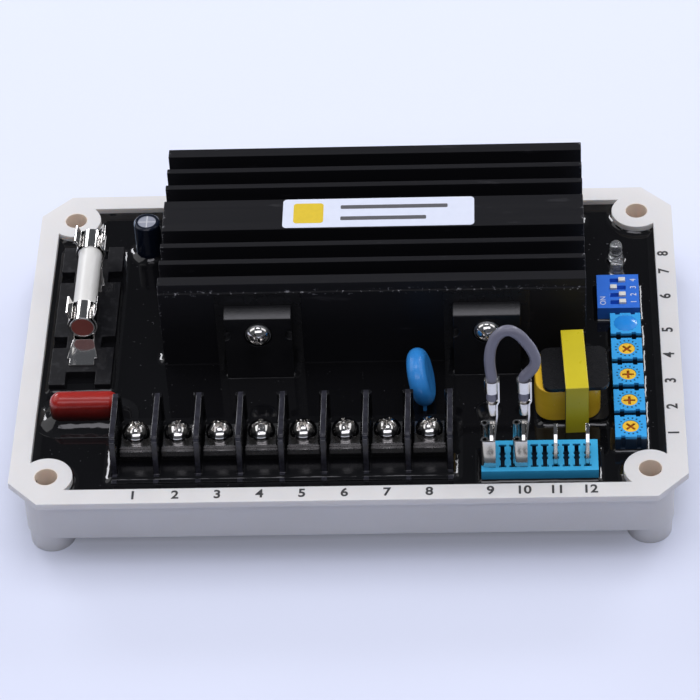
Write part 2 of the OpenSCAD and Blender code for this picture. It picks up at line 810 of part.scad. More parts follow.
// Sheet that rises in front of the arms and falls to a lip on the base, spreading as it falls
module clip_ramp() {
    crest_in = 1;
    lip_in = 0.6;
    start = -clip_w / 2;
    crest = start - crest_in;
    foot = crest - ramp_l;
    lip = foot - ramp_lip_l;
    top_half = ramp_top_w / 2;
    foot_half = ramp_w / 2;
    lip_half = foot_half - lip_in;
    intersection() {
        run_along_x(-ramp_w, 2 * ramp_w) polygon([
            [start, 0], [start, clip_t], [crest, ramp_h], [foot, clip_t], [lip, clip_t], [lip, 0],
            [foot, 0], [crest, ramp_h - clip_t]
        ]);
        linear_extrude(2 * ramp_h) polygon([
            [-top_half, start], [-top_half, crest], [-foot_half, foot], [-lip_half, foot], [-lip_half, lip],
            [lip_half, lip], [lip_half, foot], [foot_half, foot], [top_half, crest], [top_half, start]
        ]);
    }
}

// Spring clip standing on the base
module fuse_clip(y) {
    translate([holder_x, y, fuse_z]) rotate([90, 0, 0]) translate([0, 0, -clip_w / 2])
        linear_extrude(clip_w) clip_section();
    translate([holder_x, y, holder_z]) clip_ramp();
}

module fuse_clip_rear() {
    color("gainsboro") fuse_clip(fuse_y + clip_y);
}

module fuse_clip_front() {
    color("gainsboro") fuse_clip(fuse_y - clip_y);
}

module fuse_tube() {
    color("white") translate([holder_x, fuse_y + fuse_l / 2 - fuse_cap_t, fuse_z])
        rotate([90, 0, 0]) cylinder(h = fuse_l - 2 * fuse_cap_t, r = fuse_r - fuse_cap_t);
}

// Cup pressed over one end of the tube
module fuse_cap() {
    rotate([90, 0, 0]) difference() {
        cylinder(h = fuse_cap_l, r = fuse_r);
        translate([0, 0, fuse_cap_t]) cylinder(h = fuse_cap_l, r = fuse_r - fuse_cap_t);
    }
}

module fuse_cap_rear() {
    color("silver") translate([holder_x, fuse_y + fuse_l / 2, fuse_z]) fuse_cap();
}

module fuse_cap_front() {
    color("silver") translate([holder_x, fuse_y - fuse_l / 2, fuse_z]) rotate([0, 0, 180]) fuse_cap();
}

// Small parts on the board

can_h = rim_z + can_rise - board_z;
can_core_r = can_r - sleeve_t;
can_core_h = can_h - sleeve_t;
can_shoulder = 0.4;

module electrolytic_can() {
    color("silver") translate([can_x, can_y, board_z]) rotate_extrude() polygon([
        [0, 0], [can_core_r, 0], [can_core_r, can_core_h - can_shoulder],
        [can_core_r - can_shoulder, can_core_h], [0, can_core_h]
    ]);
}

// Shrink sleeve, drawn in over the shoulder of the can
module electrolytic_sleeve() {
    mouth_r = can_core_r - 2 * can_shoulder;
    color("midnightblue") translate([can_x, can_y, board_z]) rotate_extrude() polygon([
        [can_core_r, 0], [can_r, 0], [can_r, can_h - can_shoulder], [can_r - can_shoulder, can_h],
        [mouth_r, can_h], [mouth_r, can_core_h], [can_core_r - can_shoulder, can_core_h],
        [can_core_r, can_core_h - can_shoulder]
    ]);
}

// Dipped capacitor, round along every edge, on two leads
module film_capacitor() {
    r = film_cap_t / 2;
    x = film_cap_l / 2 - r;
    z = film_cap_h / 2 - r;
    top = rim_z + film_cap_rise;
    color("firebrick") translate([film_cap_x, film_cap_y, top - film_cap_h / 2]) {
        cube([2 * x, film_cap_t, 2 * z], center = true);
        for (sz = [-1, 1])
            translate([-x, 0, sz * z]) rotate([0, 90, 0]) cylinder(h = 2 * x, r = r);
        for (sx = [-1, 1]) {
            translate([sx * x, 0, -z]) cylinder(h = 2 * z, r = r);
            for (sz = [-1, 1]) translate([sx * x, 0, sz * z]) sphere(r);
            translate([sx * x, 0, board_z - top + film_cap_h / 2]) cylinder(h = film_cap_h / 2, r = lead_r);
        }
    }
}

// Leads that enter the disc at half its radius
module varistor_leads() {
    spread = varistor_r / 2;
    foot_x = varistor_x + spread * sin(varistor_lean);
    for (sy = [-1, 1])
        translate([foot_x, varistor_y + sy * spread, board_z])
            cylinder(h = varistor_z - spread - board_z, r = lead_r);
}

// Coated disc standing on edge with a round rim
module varistor() {
    round_r = varistor_t / 2;
    color("dodgerblue") {
        translate([varistor_x, varistor_y, varistor_z]) rotate([0, 90 - varistor_lean, 0]) rotate_extrude() {
            translate([0, -round_r]) square([varistor_r - round_r, varistor_t]);
            translate([varistor_r - round_r, 0]) intersection() {
                circle(round_r);
                translate([0, -round_r]) square([round_r, varistor_t]);
            }
        }
        varistor_leads();
    }
}

// Tab housing with its tabs and the jumper

function slot_x(i) = housing_x + (i - (slots - 1) / 2) * slot_pitch;
function tab_x(i) = slot_x(i * tab_step);

// Slot with two round openings near its middle and spread ends
module slot_outline() {
    hole_y = 0.1 * slot_l;
    hole_r = 0.9 * tab_t;
    end_w = 1.7;
    end_d = 0.6;
    square([tab_t + 2 * fit, slot_l], center = true);
    for (sy = [-1, 1]) {
        translate([0, sy * hole_y]) circle(hole_r, $fn = 24);
        translate([0, sy * (slot_l - end_d) / 2]) square([end_w, end_d], center = true);
    }
}

module tab_housing() {
    color("deepskyblue") difference() {
        block(housing_x, housing_y, housing_l, housing_d, board_z, housing_z);
        for (i = [0 : slots - 1])
            translate([slot_x(i), housing_y, housing_z - slot_depth]) linear_extrude(slot_depth + cut) slot_outline();
    }
}

// Flat tabs with cut corners and a latch hole
module male_tabs() {
    foot = housing_z - slot_depth;
    top = housing_z + tab_h;
    corner = 1.4;
    latch_drop = 3.4;
    latch_r = 0.9;
    half = tab_w / 2;
    color("gainsboro") for (i = [0 : tabs - 1]) difference() {
        run_along_x(tab_x(i) - tab_t / 2, tab_t) translate([housing_y, 0]) polygon([
            [-half, foot], [half, foot], [half, top - corner], [half - corner, top],
            [corner - half, top], [-half, top - corner]
        ]);
        translate([tab_x(i) - tab_t, housing_y, top - latch_drop]) rotate([0, 90, 0])
            cylinder(h = 2 * tab_t, r = latch_r);
    }
}

// Section of a receptacle round a tab: flat back, two sides and two rolled edges
module roll_section() {
    gap = tab_t / 2 + fit;
    half = tab_w / 2 + fit;
    roll_gap = 0.15;
    roll_x = -gap - roll_r - roll_gap;
    difference() {
        union() {
            translate([gap, -half - roll_t]) square([roll_t, 2 * (half + roll_t)]);
            for (side = [-1, 1]) {
                translate([roll_x, side * (half + roll_t / 2) - roll_t / 2]) square([gap - roll_x + roll_t / 2, roll_t]);
                translate([roll_x, side * (half + roll_t - roll_r)]) circle(roll_r);
            }
        }
        for (side = [-1, 1])
            translate([roll_x, side * (half + roll_t - roll_r)]) circle(roll_r - roll_t);
    }
}

// Heights of the barrels above the foot of a tab, and the lean of their axis towards the back
strand_barrel = [12.3, 15.3];
jacket_barrel = [18.5, 21.6];
strand_end = 12.2;
jacket_end = wire_route[0][2];
barrel_slope = 0.1;
function barrel_y(z) = wire_route[0][1] + barrel_slope * (z - jacket_end);

// Moves to the axis of the wire at a height above the foot of a tab
module at_barrel(z) {
    translate([barrel_x, barrel_y(z), z]) rotate([-atan(barrel_slope), 0, 0]) children();
}

// Crimped tube of the receptacle sheet round a core of radius r
module barrel(span, r) {
    l = span[1] - span[0];
    at_barrel(span[0]) difference() {
        cylinder(h = l, r = r + fit + roll_t);
        translate([0, 0, -cut]) cylinder(h = l + 2 * cut, r = r + fit);
    }
}

// Sheet from the flat back of a receptacle up behind both barrels, with a step between them
module receptacle_spine() {
    back = tab_t / 2 + fit;
    strand_back = barrel_x + strand_r + fit;
    jacket_back = barrel_x + wire_r + fit;
    low = strand_barrel[0];
    step = strand_barrel[1];
    high = jacket_barrel[1];
    half = 1.1;
    intersection() {
        translate([0, tab_w, 0]) rotate([90, 0, 0]) linear_extrude(2 * tab_w) polygon([
            [back, roll_l], [back + roll_t, roll_l], [strand_back + roll_t, low], [strand_back + roll_t, step],
            [jacket_back + roll_t, jacket_end], [jacket_back + roll_t, high], [jacket_back, high],
            [jacket_back, jacket_end], [strand_back, step], [strand_back, low]
        ]);
        run_along_x(-tab_w, 2 * tab_w) polygon([
            [-tab_w / 2, roll_l], [tab_w / 2, roll_l], [barrel_y(low) + half, low], [barrel_y(high) + half, high],
            [barrel_y(high) - half, high], [barrel_y(low) - half, low]
        ]);
    }
}

// Receptacle pushed on a tab, with its barrels crimped on the strands and on the jacket
module receptacle(i) {
    translate([tab_x(i), housing_y, housing_z]) {
        translate([0, 0, fit]) linear_extrude(roll_l) roll_section();
        receptacle_spine();
        barrel(strand_barrel, strand_r);
        barrel(jacket_barrel, wire_r);
    }
}

module receptacle_left() {
    color("silver") receptacle(0);
}

module receptacle_right() {
    color("silver") receptacle(1);
}

// Tube swept along the route of the jumper
function unit(v) = v / norm(v);
function along(p, i) = unit(p[min(i + 1, len(p) - 1)] - p[max(i - 1, 0)]);
function ring_at(p, i, r, n) =
    let (d = along(p, i), u = unit(cross(d, [0, 1, 0])), v = cross(d, u))
    [for (k = [0 : n - 1]) p[i] + r * (cos(360 * k / n) * u + sin(360 * k / n) * v)];

module swept_tube(p, r, n) {
    rings = len(p);
    points = [for (i = [0 : rings - 1]) each ring_at(p, i, r, n)];
    sides = [for (i = [0 : rings - 2], k = [0 : n - 1])
        [i * n + k, (i + 1) * n + k, (i + 1) * n + (k + 1) % n, i * n + (k + 1) % n]];
    first = [for (k = [0 : n - 1]) k];
    last = [for (k = [n - 1 : -1 : 0]) (rings - 1) * n + k];
    polyhedron(points = points, faces = concat(sides, [first, last]));
}

module jumper_wire() {
    color("dimgray") translate([tab_x(0), housing_y, housing_z]) swept_tube(wire_route, wire_r, wire_sides);
}

module jumper_strands() {
    strip_l = (jacket_end - strand_end) * norm([1, barrel_slope]);
    color("peru") for (i = [0, 1])
        translate([tab_x(i), housing_y, housing_z]) at_barrel(strand_end) cylinder(h = strip_l, r = strand_r);
}

// Transformer

window_l = (core_l - 2 * leg_t - middle_leg_t) / 2;
window_gap = 0.3;
spool_wall = 0.8;
spool_w = core_w + 2 * spool_wall;
spool_d = middle_leg_t + 2 * spool_wall;
winding_d = middle_leg_t + 2 * (window_l - window_gap);
winding_round = 4;
flange_round = 2;
flange_top = core_z - yoke_t;
flange_low = core_base + yoke_t + bobbin_t;

module at_transformer() {
    translate([transformer_x, transformer_y, 0]) rotate([0, 0, transformer_turn]) children();
}

module core_outline() {
    translate([-core_l / 2, core_base]) square([core_l, core_z - core_base]);
}

// Core as a closed frame with a middle leg
module transformer_core() {
    color("dimgray") at_transformer() run_along_x(-core_w / 2, core_w) difference() {
        core_outline();
        for (side = [-1, 1])
            translate([side * (middle_leg_t + window_l) / 2 - window_l / 2, core_base + yoke_t])
                square([window_l, core_z - core_base - 2 * yoke_t]);
    }
}

// Tape wound once round the outside of the core
module core_tape() {
    color("gold") at_transformer() run_along_x(-core_w / 2, core_w) difference() {
        translate([-core_l / 2 - tape_t, core_base - tape_t])
            square([core_l + 2 * tape_t, core_z - core_base + 2 * tape_t]);
        core_outline();
    }
}

// Rails of the bobbin that straddle the lower yoke and stand on the board
module bobbin_rails() {
    rail_in = core_w / 2 + tape_t;
    for (side = [-1, 1])
        block(side * (rail_in + bobbin_w / 2) / 2, 0, bobbin_w / 2 - rail_in, winding_d,
            board_z, flange_low - bobbin_t);
}

// Spool with two flanges on the middle leg
module transformer_bobbin() {
    color([0.1, 0.1, 0.11]) at_transformer() {
        difference() {
            union() {
                for (z = [flange_low - bobbin_t, flange_top - bobbin_t])
                    translate([0, 0, z]) linear_extrude(bobbin_t) round_outline(bobbin_w, winding_d, flange_round);
                block(0, 0, spool_w, spool_d, flange_low - bobbin_t, flange_top);
            }
            block(0, 0, core_w + 2 * fit, middle_leg_t + 2 * fit, core_base, core_z);
        }
        bobbin_rails();
    }
}

// Taped winding that bulges past the flanges on one side
module transformer_winding() {
    color("goldenrod") at_transformer() translate([0, 0, flange_low])
        linear_extrude(flange_top - bobbin_t - flange_low) difference() {
            translate([-winding_shift, 0]) round_outline(winding_w, winding_d, winding_round);
            square([spool_w, spool_d], center = true);
        }
}

// Coding switch with its sliding levers

function lever_y(i) = switch_y + (i - (levers - 1) / 2) * lever_pitch;
// Side at which each lever stands: 1 is off, -1 is on
lever_side = [1, 1, -1, 1];

module coding_switch() {
    color("royalblue") difference() {
        block(switch_x, switch_y, switch_w, switch_l, board_z, switch_z);
        for (i = [0 : levers - 1])
            block(switch_x, lever_y(i), lever_slot_l, lever_w + 2 * fit, switch_z - lever_depth - fit, switch_z + cut);
    }
}

module switch_lever(i) {
    color("white") block(switch_x + lever_side[i] * lever_travel / 2, lever_y(i), lever_l, lever_w,
        switch_z - lever_depth, switch_z + lever_stand);
}

module switch_lever_1() { switch_lever(0); }
module switch_lever_2() { switch_lever(1); }
module switch_lever_3() { switch_lever(2); }
module switch_lever_4() { switch_lever(3); }

// Trimmers, numbered from the switch to the front

function trimmer_at(n) = trimmer_y + (trimmers - n) * trimmer_pitch;
rotor_stem_r = 1;
rotor_stem_l = 1.5;
// Angle at which each rotor stands
rotor_turn = [0, 45, 0, 0, 45];

module trimmer_body(n) {
    notch = 1;
    notch_z = resin_z + 0.5;
    color("deepskyblue") difference() {
        block(trimmer_x, trimmer_at(n), trimmer_w, trimmer_w, board_z, trimmer_z);
        translate([trimmer_x, trimmer_at(n), 0]) {
            translate([0, 0, trimmer_z - rotor_recess]) cylinder(h = rotor_recess + cut, r = rotor_r + fit);
            translate([0, 0, trimmer_z - rotor_recess - rotor_stem_l - fit])
                cylinder(h = rotor_stem_l + cut, r = rotor_stem_r + fit);
            for (sx = [-1, 1], sy = [-1, 1])
                block(sx * trimmer_w / 4, sy * trimmer_w / 2, notch, notch, notch_z, trimmer_z + cut);
        }
    }
}

// Rotor with a cross slot, on a stem in the body
module trimmer_rotor(n) {
    slot_w = 0.6;
    slot_depth = 0.6;
    slot_l = 1.44 * rotor_r;
    base = trimmer_z - rotor_recess + fit;
    color("orange") translate([trimmer_x, trimmer_at(n), base]) rotate([0, 0, rotor_turn[n - 1]]) difference() {
        union() {
            cylinder(h = rotor_t, r = rotor_r);
            translate([0, 0, -rotor_stem_l]) cylinder(h = rotor_stem_l + fit, r = rotor_stem_r);
        }
        for (turn = [0, 90])
            rotate([0, 0, turn]) block(0, 0, slot_l, slot_w, rotor_t - slot_depth, rotor_t + cut);
    }
}

module trimmer_body_1() { trimmer_body(1); }
module trimmer_body_2() { trimmer_body(2); }
module trimmer_body_3() { trimmer_body(3); }
module trimmer_body_4() { trimmer_body(4); }
module trimmer_body_5() { trimmer_body(5); }
module trimmer_rotor_1() { trimmer_rotor(1); }
module trimmer_rotor_2() { trimmer_rotor(2); }
module trimmer_rotor_3() { trimmer_rotor(3); }
module trimmer_rotor_4() { trimmer_rotor(4); }
module trimmer_rotor_5() { trimmer_rotor(5); }

// Drop of lacquer that seals the first trimmer
module trimmer_seal() {
    plug_h = rotor_recess - fit - rotor_t;
    dome_r = (seal_r * seal_r + seal_h * seal_h) / (2 * seal_h);
    color("dodgerblue") translate([trimmer_x, trimmer_at(1), trimmer_z]) rotate_extrude() {
        translate([0, -plug_h]) square([rotor_r, plug_h]);
        intersection() {
            square([seal_r, seal_h]);
            translate([0, seal_h - dome_r]) circle(dome_r, $fn = 240);
        }
    }
}

// Indicator lamps

lamp_lift = 0.6;
lamp_foot = resin_z + lamp_lift;
lamp_barrel_h = rim_z + lamp_rise - lamp_r - lamp_foot;
lamp_collar = 0.3;
lamp_collar_h = 0.8;
lamp_lead_gap = 1.27;

module lamp_leads(i) {
    for (sx = [-1, 1])
        translate([lamp_x + sx * lamp_lead_gap / 2, lamp_y + i * lamp_pitch, board_z])
            cylinder(h = lamp_foot + lamp_collar_h - board_z, r = lead_r);
}

// Clear lens with a collar at its foot, on two leads
module lamp(i) {
    color("gainsboro") {
        translate([lamp_x, lamp_y + i * lamp_pitch, lamp_foot]) {
            cylinder(h = lamp_collar_h, r = lamp_r + lamp_collar);
            cylinder(h = lamp_barrel_h, r = lamp_r);
            translate([0, 0, lamp_barrel_h]) sphere(lamp_r);
        }
        lamp_leads(i);
    }
}

module lamp_front() { lamp(0); }
module lamp_rear() { lamp(1); }

tray();
circuit_board();
potting_resin();
heat_sink();
insulating_films();
power_device_left();
power_device_right();
device_screws();
device_washers();
terminal_block();
contact_plates();
clamp_plates();
terminal_screws();
fuse_holder_base();
fuse_clip_rear();
fuse_clip_front();
fuse_tube();
fuse_cap_rear();
fuse_cap_front();
electrolytic_can();
electrolytic_sleeve();
film_capacitor();
varistor();
tab_housing();
male_tabs();
receptacle_left();
receptacle_right();
jumper_wire();
jumper_strands();
transformer_core();
core_tape();
transformer_bobbin();
transformer_winding();
coding_switch();
switch_lever_1();
switch_lever_2();
switch_lever_3();
switch_lever_4();
trimmer_body_1();
trimmer_body_2();
trimmer_body_3();
trimmer_body_4();
trimmer_body_5();
trimmer_rotor_1();
trimmer_rotor_2();
trimmer_rotor_3();
trimmer_rotor_4();
trimmer_rotor_5();
trimmer_seal();
lamp_rear();
lamp_front();
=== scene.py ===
import json
from math import cos, pi, radians, sin, tan

import bpy
from mathutils import Matrix, Vector


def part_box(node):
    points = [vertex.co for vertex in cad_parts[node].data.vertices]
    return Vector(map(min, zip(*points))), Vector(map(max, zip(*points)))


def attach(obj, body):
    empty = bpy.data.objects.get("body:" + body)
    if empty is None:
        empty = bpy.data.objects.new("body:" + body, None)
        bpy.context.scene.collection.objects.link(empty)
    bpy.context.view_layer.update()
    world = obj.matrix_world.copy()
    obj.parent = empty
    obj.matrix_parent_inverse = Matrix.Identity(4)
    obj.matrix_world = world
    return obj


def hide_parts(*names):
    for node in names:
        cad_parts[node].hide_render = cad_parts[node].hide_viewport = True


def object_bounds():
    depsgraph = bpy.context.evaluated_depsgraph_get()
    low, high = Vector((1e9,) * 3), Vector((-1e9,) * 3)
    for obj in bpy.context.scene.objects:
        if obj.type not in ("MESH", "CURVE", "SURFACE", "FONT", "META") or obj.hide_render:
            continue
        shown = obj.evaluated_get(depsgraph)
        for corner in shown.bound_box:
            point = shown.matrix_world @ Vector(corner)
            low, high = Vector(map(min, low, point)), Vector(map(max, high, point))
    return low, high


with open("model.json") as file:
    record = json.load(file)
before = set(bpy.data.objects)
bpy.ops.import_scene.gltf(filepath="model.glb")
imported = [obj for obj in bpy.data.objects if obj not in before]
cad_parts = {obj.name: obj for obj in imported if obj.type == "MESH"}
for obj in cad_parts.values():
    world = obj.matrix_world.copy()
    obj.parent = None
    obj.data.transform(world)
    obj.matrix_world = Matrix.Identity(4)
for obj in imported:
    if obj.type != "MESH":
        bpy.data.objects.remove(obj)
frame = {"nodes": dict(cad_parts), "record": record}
cad_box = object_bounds()


# Tray
# A cream box moulded in one piece, with a flange round its rim and a hollow post and a foot at each corner.
# The mould leaves every edge a little round and a fine grain on the faces.
mm = 0.001
record = frame["record"]
body_of = {node: body for body, nodes in record["behaviour"]["bodies"].items() for node in nodes}


class Shade:
    """An output socket of a material, so that shader maths reads as plain arithmetic."""

    def __init__(self, finish, socket):
        self.finish = finish
        self.socket = socket

    def maths(self, operation, *values):
        return self.finish.node("Math", {"operation": operation}, dict(enumerate(values)))

    def __add__(self, other):
        return self.maths("ADD", self, other)

    def __radd__(self, other):
        return self.maths("ADD", other, self)

    def __sub__(self, other):
        return self.maths("SUBTRACT", self, other)

    def __rsub__(self, other):
        return self.maths("SUBTRACT", other, self)

    def __mul__(self, other):
        return self.maths("MULTIPLY", self, other)

    def __rmul__(self, other):
        return self.maths("MULTIPLY", other, self)

    def __pow__(self, other):
        return self.maths("POWER", self, other)

    def __mod__(self, other):
        return self.maths("FLOORED_MODULO", self, other)

    def __abs__(self):
        return self.maths("ABSOLUTE", self)

    def hypot(self, other):
        """Straight distance, from its two parts at a right angle."""
        return (self * self + other * other) ** 0.5


class Finish:
    """A material with one Principled shader and the nodes that feed it."""

    def __init__(self, name, sockets):
        self.material = bpy.data.materials.new(name)
        self.material.use_nodes = True
        self.tree = self.material.node_tree
        self.shader = self.tree.nodes["Principled BSDF"]
        self.place = self.node("TexCoord", output="Object")
        for socket, value in sockets.items():
            self.feed(socket, value)

    def node(self, kind, settings=None, sockets=None, output=0):
        """Adds a node with its settings and socket values or links, and gives one of its outputs."""
        made = self.tree.nodes.new("ShaderNode" + kind)
        for name, value in (settings or {}).items():
            setattr(made, name, value)
        for name, value in (sockets or {}).items():
            self.join(made.inputs[name], value)
        return Shade(self, made.outputs[output])

    def join(self, socket, value):
        """Links a socket to a shade, or sets it to a number, vector or colour."""
        if isinstance(value, Shade):
            self.tree.links.new(value.socket, socket)
        elif isinstance(value, tuple) and socket.type == "RGBA":
            socket.default_value = (*value, 1.0)
        else:
            socket.default_value = value

    def feed(self, socket, value):
        self.join(self.shader.inputs[socket], value)

    def axis(self, name):
        return self.node("SeparateXYZ", sockets={0: self.place}, output="XYZ".index(name))

    def noise(self, scale, detail=2.0, stretch=(1.0, 1.0, 1.0)):
        """Clouds with about scale spots to the metre, drawn out along an axis by a small stretch."""
        drawn = self.node("VectorMath", {"operation": "MULTIPLY"}, {0: self.place, 1: stretch})
        return self.node("TexNoise", sockets={"Vector": drawn, "Scale": scale, "Detail": detail})

    def mask(self, value, low, high):
        """Goes from 0 at low to 1 at high, and stays there."""
        return self.node("MapRange", sockets={"Value": value, "From Min": low, "From Max": high})

    def mix(self, share, first, second):
        return self.node("Mix", {"data_type": "RGBA"}, {0: share, 6: first, 7: second}, output=2)

    def bump(self, height, depth):
        self.feed("Normal", self.node("Bump", sockets={"Height": height, "Distance": depth}))


def take(part):
    """Leaves one object selected and active."""
    bpy.ops.object.select_all(action="DESELECT")
    part.select_set(True)
    bpy.context.view_layer.objects.active = part


def edit_all(part):
    """Enters edit mode with everything selected."""
    take(part)
    bpy.ops.object.mode_set(mode="EDIT")
    bpy.ops.mesh.select_all(action="SELECT")


def leave_edit():
    bpy.ops.object.mode_set(mode="OBJECT")


def apply_modifier(part, kind, **settings):
    take(part)
    modifier = part.modifiers.new(kind.lower(), kind)
    for name, value in settings.items():
        setattr(modifier, name, value)
    bpy.ops.object.modifier_apply(modifier=modifier.name)


def smooth(part, angle=40):
    """Rounds the shading below an angle in degrees, and keeps broad faces flat up to their edges."""
    take(part)
    bpy.ops.object.shade_smooth_by_angle(angle=radians(angle))
    apply_modifier(part, "WEIGHTED_NORMAL", keep_sharp=True)


def place_piece(part, name, finish, body="regulator"):
    """Names a new piece, gives it its finish and fixes it to a body."""
    part.name = name
    part.data.name = name
    part.data.materials.clear()
    part.data.materials.append(finish.material)
    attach(part, body)


seam_gap = 0.002 * mm
flat_angle = radians(0.5)
sharp_angle = radians(35)


def eased(node, finish, edge=0.0, segments=2):
    """Stands a plain copy of a solid in its place, with its sharp edges rounded to a radius."""
    part = frame["nodes"][node].copy()
    part.data = part.data.copy()
    part.parent = None
    for key in list(part.keys()):
        del part[key]
    bpy.context.collection.objects.link(part)
    take(part)
    bpy.ops.mesh.customdata_custom_splitnormals_clear()
    edit_all(part)
    bpy.ops.mesh.remove_doubles(threshold=seam_gap)
    bpy.ops.mesh.dissolve_limited(angle_limit=flat_angle)
    leave_edit()
    if edge:
        apply_modifier(
            part, "BEVEL", width=edge, segments=segments, limit_method="ANGLE", angle_limit=sharp_angle,
            use_clamp_overlap=False,
        )
    smooth(part)
    place_piece(part, node + "_eased", finish, body_of[node])
    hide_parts(node)


tray_low, tray_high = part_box("tray")
holes = next(mount["dims"] for mount in record["mounts"] if mount["name"] == "mounting_holes")
hole_x = holes["spacing_x_mm"] / 2 * mm
hole_y = holes["spacing_y_mm"] / 2 * mm
hole_r = holes["hole_r_mm"] * mm
hole_rim = 0.35 * mm

cream = Finish("cream_moulding", {
    "IOR": 1.46, "Subsurface Weight": 0.3, "Subsurface Radius": (1.0, 0.82, 0.66),
    "Subsurface Scale": 3 * mm,
})
to_hole_x = abs(cream.axis("X")) - hole_x
to_hole_y = abs(cream.axis("Y")) - hole_y
# Painted light: the walls of the mounting holes are painted a lighter, warmer beige than the moulding.
painted_hole_glow = 1 - cream.mask(to_hole_x.hypot(to_hole_y), hole_r, hole_r + hole_rim)
cloudy = cream.mix(cream.noise(70, 3), (0.655, 0.645, 0.645), (0.715, 0.705, 0.705))
cream.feed("Base Color", cream.mix(painted_hole_glow, cloudy, (0.80, 0.70, 0.61)))
cream.feed("Roughness", 0.36 + 0.14 * cream.noise(600))
cream.bump(cream.noise(1500, 3), depth=0.025 * mm)
eased("tray", cream, edge=0.15 * mm)


# Numbers on the rim
# Plain figures printed in black ink on the front and right rims, one for each terminal, tab and adjuster.
# The ink stands a hair above the moulding.
ink = Finish("black_ink", {"Roughness": 0.55})
ink.feed("Base Color", ink.mix(ink.noise(2500), (0.018, 0.018, 0.02), (0.05, 0.05, 0.055)))
ink_t = 0.02 * mm
ink_gap = 0.005 * mm
ink_middle = ink_gap + ink_t / 2
ink_seam = 0.001 * mm


def close_seams(part, gap):
    """Merges the points that coincide and turns all faces outwards."""
    edit_all(part)
    bpy.ops.mesh.remove_doubles(threshold=gap)
    bpy.ops.mesh.normals_make_consistent(inside=False)
    leave_edit()


def lettering(name, words, size, middle, finish, turn=0.0, weight=0.025):
    """Flat figures as thin solids: centred on a point, turned about Z in degrees, made bolder by a weight."""
    bpy.ops.object.select_all(action="DESELECT")
    bpy.ops.object.text_add()
    part = bpy.context.object
    part.data.body = words
    part.data.size = size
    part.data.align_x = "CENTER"
    part.data.align_y = "CENTER"
    part.data.offset = weight * size
    part.data.extrude = ink_t / 2
    bpy.ops.object.convert(target="MESH")
    part.rotation_euler = (0, 0, radians(turn))
    part.location = middle
    bpy.ops.object.transform_apply(location=True, rotation=True, scale=True)
    close_seams(part, ink_seam)
    place_piece(part, name, finish)


def middle_of(node):
    low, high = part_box(node)
    return (low + high) / 2


rim_figure = 3.5 * mm
front_inset = 2.4 * mm
side_inset = 2.7 * mm
front_line = tray_low.y + front_inset
side_line = tray_high.x - side_inset
rim_print_z = tray_high.z + ink_middle
poles = 8
tabs = 4
barrier_t = 1.4 * mm
block_low, block_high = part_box("terminal_block")
tabs_low, tabs_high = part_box("male_tabs")
pole_pitch = (block_high.x - block_low.x - barrier_t) / poles
tab_pitch = (tabs_high.x - tabs_low.x) / (tabs - 1)
pole_x = [block_low.x + barrier_t / 2 + (i + 0.5) * pole_pitch for i in range(poles)]
tab_x = [tabs_low.x + i * tab_pitch for i in range(tabs)]
for number, x in enumerate(pole_x + tab_x, start=1):
    lettering(f"rim_figure_{number}", str(number), rim_figure, (x, front_line, rim_print_z), ink)
adjusters = [f"trimmer_body_{i}" for i in (5, 4, 3, 2, 1)] + ["coding_switch", "lamp_front", "lamp_rear"]
for number, node in enumerate(adjusters, start=1):
    spot = (side_line, middle_of(node).y, rim_print_z)
    lettering(f"side_figure_{number}", str(number), rim_figure, spot, ink, turn=90)


# Circuit board
# A sheet of green laminate under the resin, which hides it from every side.
# It rests on four pads of the tray floor.
laminate = Finish("green_laminate", {"Roughness": 0.45})
laminate.feed("Base Color", laminate.mix(laminate.noise(400), (0.02, 0.12, 0.05), (0.03, 0.17, 0.07)))


def dress(node, finish):
    """Gives a solid its finish and leaves its form."""
    part = frame["nodes"][node]
    part.data.materials.clear()
    part.data.materials.append(finish.material)


dress("circuit_board", laminate)


# Potting resin
# Black casting resin poured over the board, set with a glossy and slightly wavy surface.
# Before it set it crept up the tray and the pieces that stand in it, with a hollow curve at each foot.
potting = Finish("black_resin", {"IOR": 1.38})
dust = potting.mask(potting.noise(1500, 1), 0.77, 0.80)
potting.feed("Base Color", potting.mix(dust, (0.004, 0.004, 0.0048), (0.06, 0.06, 0.066)))
potting.feed("Roughness", 0.04 + 0.05 * potting.noise(160) + 0.3 * dust)
potting.bump(potting.noise(45, 2), depth=0.1 * mm)
dress("potting_resin", potting)
resin_low, resin_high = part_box("potting_resin")
resin_z = resin_high.z

wet = Finish("resin_edge", {"IOR": 1.5})
wet.feed("Base Color", wet.mix(wet.noise(300), (0.004, 0.004, 0.0048), (0.008, 0.008, 0.009)))
wet.feed("Roughness", 0.05 + 0.05 * wet.noise(900))
wet.bump(wet.noise(180, 2), depth=0.25 * mm)


def pick_none(part, kind):
    """Takes an object and clears its selection, ready to pick faces or edges."""
    take(part)
    bpy.ops.object.mode_set(mode="EDIT")
    bpy.ops.mesh.select_mode(type=kind)
    bpy.ops.mesh.select_all(action="DESELECT")
    leave_edit()


def pick_faces(part, wanted):
    """Enters edit mode with only the wanted faces selected."""
    pick_none(part, "FACE")
    for face in part.data.polygons:
        face.select = wanted(face)
    bpy.ops.object.mode_set(mode="EDIT")


def pick_edges(part, wanted):
    """Enters edit mode with only the wanted edges selected, each given by its two ends."""
    pick_none(part, "EDGE")
    points = part.data.vertices
    for edge in part.data.edges:
        edge.select = wanted(*(points[i].co for i in edge.vertices))
    bpy.ops.object.mode_set(mode="EDIT")


def box_piece(low, high):
    """A box between two corners, with its place in its mesh."""
    bpy.ops.object.select_all(action="DESELECT")
    bpy.ops.mesh.primitive_cube_add(size=1)
    part = bpy.context.object
    part.scale = Vector(high) - Vector(low)
    part.location = (Vector(high) + Vector(low)) / 2
    bpy.ops.object.transform_apply(location=True, rotation=True, scale=True)
    return part


corner_segments = 8


